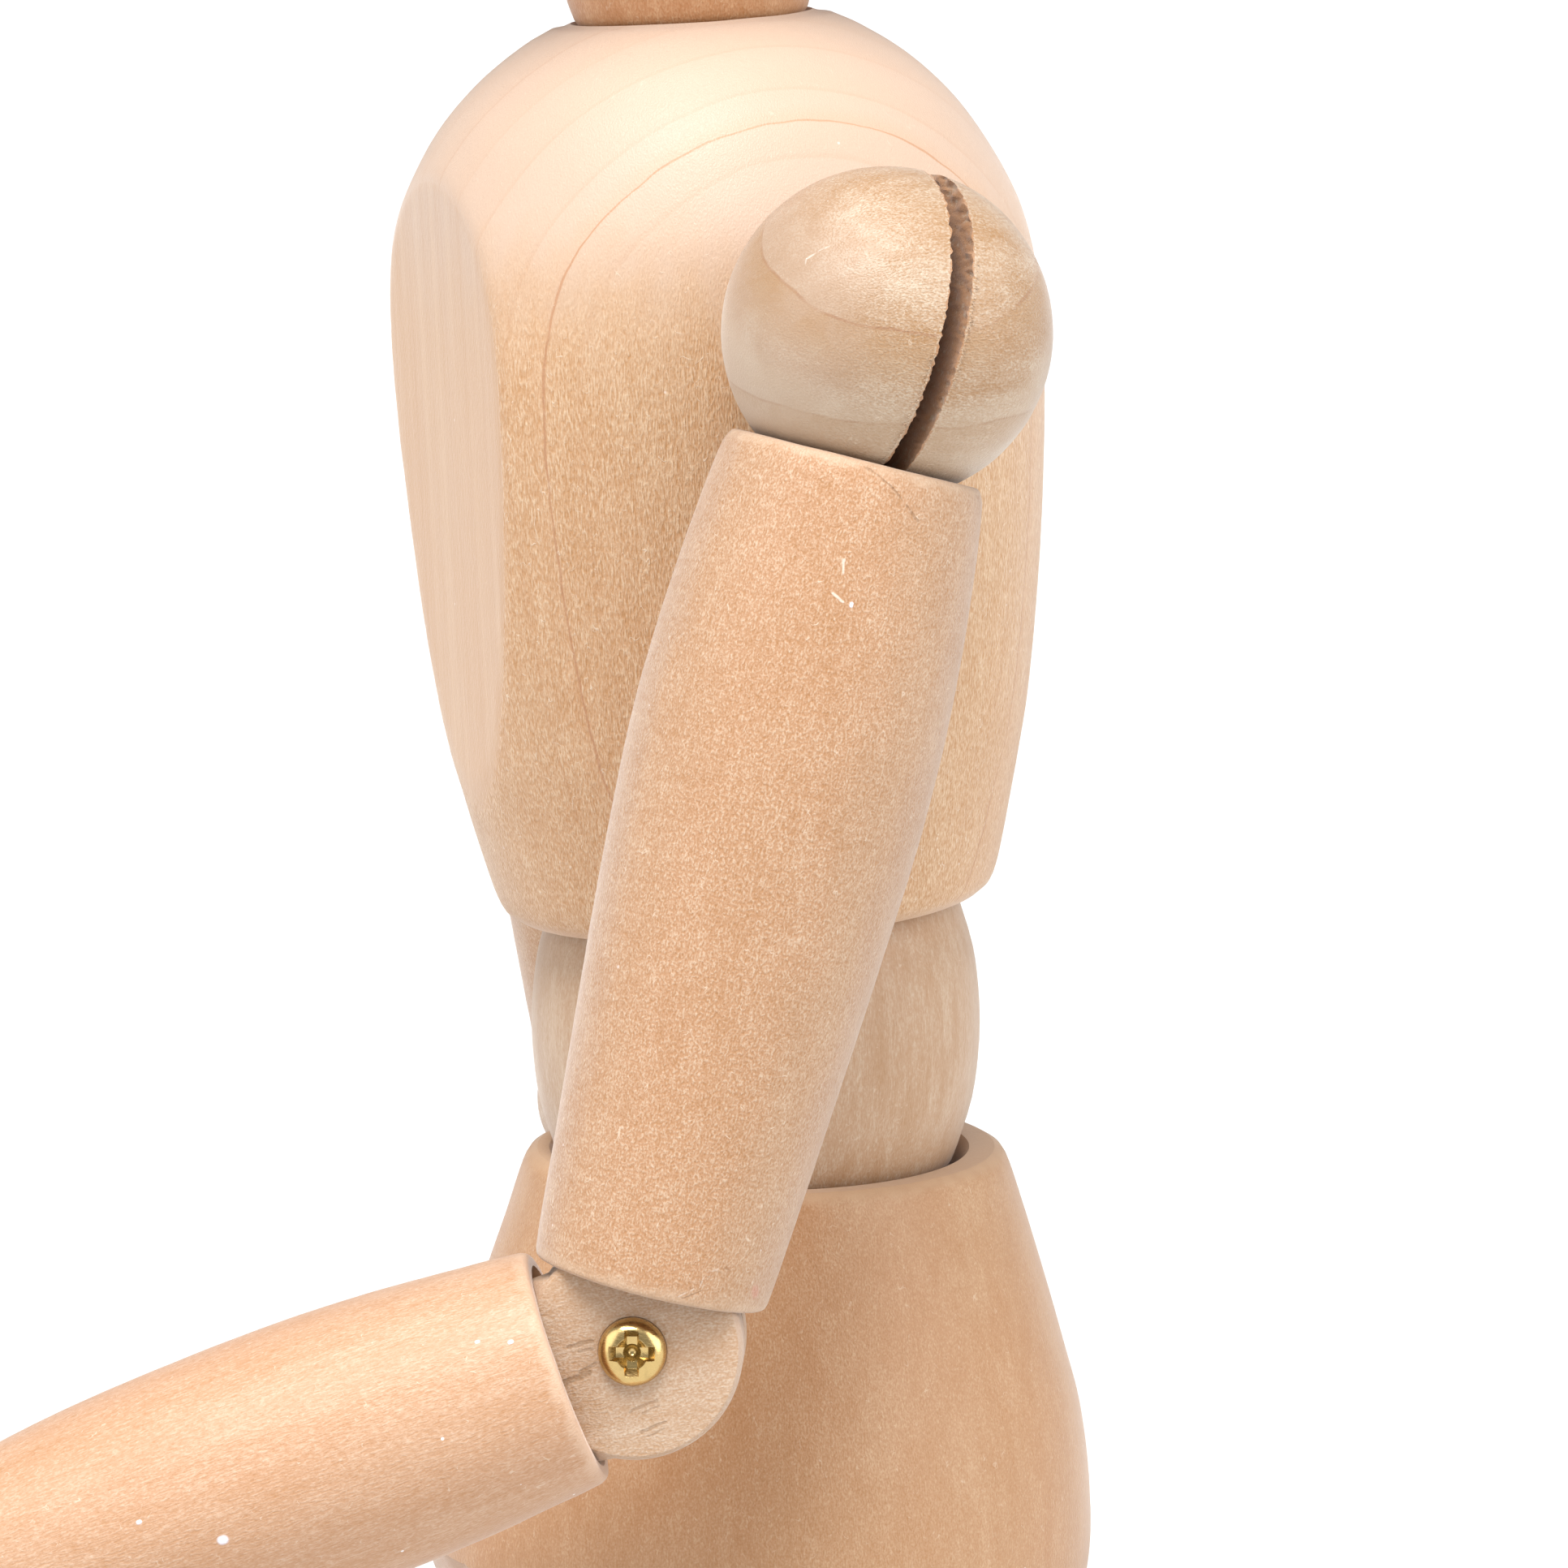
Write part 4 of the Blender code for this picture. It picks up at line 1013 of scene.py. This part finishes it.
def arm(side):
    s = "_l" if side > 0 else "_r"
    shoulder = TORSO @ move(side * SHOULDER_X, 0, WAIST_GAP + SHOULDER_LEVEL)
    swung = shoulder @ turn(-ARM_SWING[side] - TORSO_LEAN, "X")
    upper = swung @ turn(-side * ARM_LIFT[side], "Y")
    seed = 3 if side > 0 else 8
    # The ball darkens just above the arm's rim: painted shade, with some rubbed grime.
    grey = wood("ball_wood" + s, BALL, 2.0, 3.0, 1.2, 2.9, grain=(80, 12, 0), warm=0.9, fuzz=0.3,
                rough=0.42, seed=seed, specks=0.3, slot=KERF / 2, shade_and_grime=(-6.2, -7.2, 0.6),
                sheets=BALL_LINES, marks=BALL_MARKS)
    piece = kerfed_ball("shoulder_ball_turned" + s, SHOULDER_BALL, side, seed)
    piece = torn_kerf_edges(piece, SHOULDER_BALL, side)
    place(piece, swung, "shoulder_ball" + s, grey)
    seat, cup = SHOULDER_BALL + GAP, ELBOW["ball"] + GAP
    profile = [(6.5, UPPER_ARM_TOP), (6.85, 7.3), (7.35, 11.0), (7.8, 16.0), (8.0, 21.0), (7.9, 26.0)]
    profile += [(7.55, 32.0), (7.1, 38.0), (6.65, 44.0), (6.3, 48.6), (6.15, 50.0), (6.05, UPPER_ARM_END)]
    top = (UPPER_ARM_TOP, seat, 0.0, 1.0, 14.0)
    bottom = (UPPER_ARM_END, cup, ELBOW_DROP, ELBOW["shank"] + GAP, ELBOW_DROP - ELBOW["bore"])
    # For the left arm, faces points at the camera: the pale edges are painted sheen.
    pink = wood("upper_arm_wood" + s, PINK, 1.5, 3.4, 0.5, 0.8, curl=1.1, fuzz=0.35,
                seed=seed + 1, faces=((0.93, -0.36, 0), 0.7), rims=((-50.3, 1.0), (-6.7, 0.6)),
                marks=ARM_MARKS)
    piece = peeled_rim(limb_piece("upper_arm_turned" + s, top, bottom, profile, seed), side)
    place(piece, upper, "upper_arm" + s, pink)
    elbow = upper @ move(0, 0, -ELBOW_DROP) @ turn(-side * ARM_TWIST[side], "Z")
    lower = elbow @ turn(-ELBOW_BEND[side], "X")
    fair = wood("elbow_wood" + s, KNUCKLE, 1.3, 2.2, 0.9, 0.8, grain=(8, 0, 0), warm=0.4, fuzz=0.3,
                seed=seed + 2, marks=elbow_marks(side))
    knuckle("elbow", ELBOW, side, ELBOW_DROP - UPPER_ARM_END, elbow, lower, fair)
    profile = [(6.1, ELBOW["rim"]), (6.3, 4.1), (6.6, 7.0), (6.95, 11.0), (7.15, 15.5), (7.15, 20.0)]
    profile += [(6.95, 25.5), (6.5, 31.0), (5.75, 36.0), (5.15, 38.8), (4.85, 39.5), (4.6, FOREARM_END)]
    top = (ELBOW["rim"], cup, 0.0, ELBOW["shank"] + GAP, ELBOW["bore"])
    bottom = (FOREARM_END, WRIST_BALL + GAP, WRIST_DROP, 0.9, 33.0)
    pale = wood("forearm_wood" + s, PALE, 1.9, 1.2, 0.9, 0.6, fuzz=0.3, seed=seed + 3,
                rims=((-3.8, 0.7),), specks=0.9, marks=FOREARM_MARKS)
    place(limb_piece("forearm_turned" + s, top, bottom, profile, seed + 1), lower, "forearm" + s, pale)
    wrist = lower @ move(0, 0, -WRIST_DROP)
    belt = [(4.2, 0), (4.25, 0)]
    piece = ball_with_bore("wrist_ball_turned" + s, WRIST_BALL, belt, 0.8, 64, 10)
    place(piece, wrist, "wrist_ball" + s, pale)
    place(hand_piece("hand_carved" + s), wrist, "hand" + s, pale)


def leg(side):
    s = "_l" if side > 0 else "_r"
    seed = 13 if side > 0 else 18
    hip = move(side * HIP_X, FIGURE_Y, HIP_Z)
    grey = wood("hip_ball_wood" + s, GREYISH, 1.8, 1.5, 1.4, 1.5, grain=(80, 12, 0), warm=0.7, seed=seed,
                sheets=(((0.3, 0.2, 0.9), 3.0, 0.12, 0.6, 2.5),))
    place(kerfed_ball("hip_ball_turned" + s, HIP_BALL, side, seed), hip, "hip_ball" + s, grey)
    cup = KNEE["ball"] + GAP
    profile = [(6.6, THIGH_TOP), (7.1, 6.8), (8.1, 11.5), (9.0, 18.0), (9.3, 25.0), (9.1, 33.0)]
    profile += [(8.6, 41.0), (8.0, 49.0), (7.5, 56.0), (7.2, 61.0), (7.0, 62.6), (6.85, THIGH_END)]
    top = (THIGH_TOP, HIP_BALL + GAP, 0.0, 1.0, 14.0)
    bottom = (THIGH_END, cup, KNEE_DROP, KNEE["shank"] + GAP, KNEE_DROP - KNEE["bore"])
    tan = wood("leg_wood" + s, TAN, 2.2, 1.8, 1.5, 1.0, seed=seed + 1,
               rims=((-62.8, 1.0), (-6.1, 0.8)), rings=(24 * side, -8, 3.6, 0.4, 0.35))
    place(limb_piece("thigh_turned" + s, top, bottom, profile, seed), hip, "thigh" + s, tan)
    knee = hip @ move(0, 0, -KNEE_DROP)
    fair = wood("knee_wood" + s, KNUCKLE, 1.6, 1.8, 1.6, 1.2, grain=(6, 0, 0), warm=0.4, seed=seed + 2)
    knuckle("knee", KNEE, side, KNEE["rim"], knee, knee, fair)
    profile = [(6.85, KNEE["rim"]), (7.05, 3.95), (7.5, 7.5), (8.1, 13.0), (8.3, 18.5), (8.0, 25.0)]
    profile += [(7.4, 33.0), (6.6, 41.0), (5.9, 49.0), (5.35, 57.0), (5.2, 61.4), (5.05, SHIN_END)]
    top = (KNEE["rim"], cup, 0.0, KNEE["shank"] + GAP, KNEE["bore"])
    bottom = (SHIN_END, ANKLE_BALL + GAP, ANKLE_DROP, 0.9, 55.0)
    pale = wood("shin_wood" + s, PALE, 2.3, 1.6, 1.6, 0.9, seed=seed + 3,
                rims=((-3.7, 0.7), (-61.8, 0.7)), rings=(-22 * side, 10, 3.2, 1.1, 0.3))
    place(limb_piece("shin_turned" + s, top, bottom, profile, seed + 1), knee, "shin" + s, pale)
    ankle = knee @ move(0, 0, -ANKLE_DROP)
    belt = [(4.7, 0), (4.75, 0)]
    piece = ball_with_bore("ankle_ball_turned" + s, ANKLE_BALL, belt, 0.8, 64, 10)
    place(piece, ankle, "ankle_ball" + s, tan)
    shoe = wood("foot_wood" + s, TAN, 2.2, 1.6, 1.5, 1.0, grain=(90, 0, 0), seed=seed + 4,
                rings=(4, 22, 2.6, 0.2, 0.35))
    place(foot_piece("foot_carved" + s), ankle, "foot" + s, shoe)


def trunk():
    # The torso's top is sanded smooth and whitened as a painted highlight.
    cream = wood("torso_wood", CREAM, 3.6, 1.5, 0.8, 0.4, grain=(0, -3.4, 0), warm=0.4, fuzz=0.5, seed=0,
                 specks=0.3, planed=(0, -1, 0), sanded_and_highlight=(WAIST_GAP + 29, WAIST_GAP + 41),
                 rings=(-56.3, 0.0, 2.9, 0.85, 0.2, 67.3, 0.75))
    place(torso_piece(), TORSO, "torso", cream)
    orange = wood("pelvis_wood", ORANGE, 1.2, 1.9, 0.6, 1.0, warm=0.6, seed=1,
                  rims=((0.0, 0.8),), specks=0.3)
    place(pelvis_piece(), move(0, FIGURE_Y, WAIST_Z - WAIST_GAP), "pelvis", orange)
    grey = wood("waist_wood", GREYISH, 1.5, 0.9, 1.6, 1.2, seed=2)
    belt = [(11.1, 0), (11.65, 6.1), (12.2, 4.2), (12.5, 2.0), (12.6, 0)]
    piece = ball_with_bore("waist_barrel_turned", WAIST_BALL, belt, 2.5, 144, 16)
    place(piece, WAIST, "waist_barrel", grey)
    belt = [(6.4, 0), (6.8, 1.9), (6.95, 0)]
    honey = wood("neck_wood", HONEY, 2.0, 1.4, 1.4, 1.0, seed=4)
    piece = ball_with_bore("neck_barrel_turned", NECK_BALL, belt, 1.6, 112, 12)
    place(piece, NECK, "neck_barrel", honey)
    egg = wood("head_wood", CREAM, 2.6, 1.8, 1.5, 0.9, seed=5,
               rings=(-24, 14, 3.1, 0.5, 0.4))
    place(head_piece(), NECK, "head", egg)


def inner_steel():
    """The springs, pins and wire links keep their own meshes."""
    names = ["waist_spring", "neck_spring", "shoulder_spring", "hip_spring"]
    for kind in ("shoulder_pin", "shoulder_link", "hip_pin", "hip_link"):
        names += [kind + "_l", kind + "_r"]
    for name in names:
        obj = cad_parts[name]
        obj.data.materials.clear()
        obj.data.materials.append(STEEL)


def stand():
    r, h = BASE_RADIUS, BASE_HEIGHT
    hole = ROD_RADIUS + 0.12
    side = [(r - 1.0, 0.02), (r - 0.3, 0.3), (r, 0.9), (r, h - 4.0), (r - 0.35, h - 2.7)]
    side += [(r - 1.2, h - 1.4), (r - 2.6, h - 0.45), (r - 4.5, h - 0.02)]
    rows = [(0, 0), (r - 1.3, 0)] + smooth_rows(side, 0.4) + [(r - 5.2, h)]
    rows += [(hole + 0.35, h), (hole, h - 0.35), (hole, ROD_FOOT - GAP), (0, ROD_FOOT - GAP)]
    tan = wood("base_wood", TAN, 2.2, 1.6, 1.8, 1.0, grain=(0, 90, 0), seed=6,
               rings=(70, -12, 4.2, 0.0, 0.45))
    place(lathe("base_turned", rows, 192), move(), "base_disc", tan, "stand")
    edge = 0.5
    rows = [(0, ROD_FOOT), (ROD_RADIUS - edge, ROD_FOOT), (ROD_RADIUS, ROD_FOOT + edge)]
    rows += [(ROD_RADIUS, z) for z in range(10, 176, 6)]
    rows += [(ROD_RADIUS, ROD_TOP - edge), (ROD_RADIUS - edge, ROD_TOP), (0, ROD_TOP)]
    place(lathe("rod_drawn", rows, 64), move(), "stand_rod", STEEL, "stand")


# ------ studio
def heading(azimuth, elevation):
    """The direction towards a lamp or camera; azimuth 0 is in front of the figure, 90 on its left."""
    a, e = math.radians(azimuth), math.radians(elevation)
    return Vector((math.sin(a) * math.cos(e), -math.cos(a) * math.cos(e), math.sin(e)))


def studio():
    """Soft light, a pale floor and a background that is white to the camera only."""
    scene = bpy.context.scene
    scene.view_settings.view_transform = "Standard"
    scene.view_settings.look = "None"
    world = bpy.data.worlds.new("studio")
    scene.world = world
    world.use_nodes = True
    tree = world.node_tree
    soft = tree.nodes["Background"]
    soft.inputs["Color"].default_value = WHITE
    soft.inputs["Strength"].default_value = 0.36
    white = tree.nodes.new("ShaderNodeBackground")
    white.inputs["Color"].default_value = WHITE
    white.inputs["Strength"].default_value = 1.0
    seen = tree.nodes.new("ShaderNodeLightPath")
    choose = tree.nodes.new("ShaderNodeMixShader")
    sources = (seen.outputs["Is Camera Ray"], soft.outputs[0], white.outputs[0])
    for source, socket in zip(sources, choose.inputs):
        tree.links.new(source, socket)
    tree.links.new(choose.outputs[0], tree.nodes["World Output"].inputs[0])

    reach = 60000
    floor = new_piece("studio_floor", rectangle((-reach, -reach), (reach, reach), 0), [(0, 1, 2, 3)])
    pale = Graph("floor_pale")
    pale.surface({"Base Color": (0.62, 0.62, 0.62, 1), "Roughness": 1.0, "Specular IOR Level": 0.0})
    floor.data.materials.append(pale.mat)

    def sun(name, azimuth, elevation, power, spread):
        light = bpy.data.lights.new(name, "SUN")
        light.energy = power
        light.angle = math.radians(spread)
        obj = bpy.data.objects.new(name, light)
        scene.collection.objects.link(obj)
        obj.rotation_euler = heading(azimuth, elevation).to_track_quat("Z", "Y").to_euler()

    sun("key", 50.0, 66.0, 4.1, 36.0)
    sun("front", 5.0, 20.0, 1.15, 55.0)
    sun("back", 135.0, 26.0, 1.9, 55.0)

    camera = bpy.data.cameras.new("camera")
    camera.sensor_width = 36.0
    camera.lens = 142.5
    camera.clip_start = 0.01
    camera.clip_end = 50.0
    view = bpy.data.objects.new("camera", camera)
    scene.collection.objects.link(view)
    azimuth, elevation, distance = 69.0, 8.8, 347.0
    right = Vector((math.cos(math.radians(azimuth)), math.sin(math.radians(azimuth)), 0))
    toward = heading(azimuth, elevation)
    target = right * 1.4 + Vector((0, FIGURE_Y, 220.0))
    view.location = (target + toward * distance) * MM
    view.rotation_euler = toward.to_track_quat("Z", "Y").to_euler()
    scene.camera = view


stand()
trunk()
for side in (1, -1):
    arm(side)
    leg(side)
inner_steel()
studio()
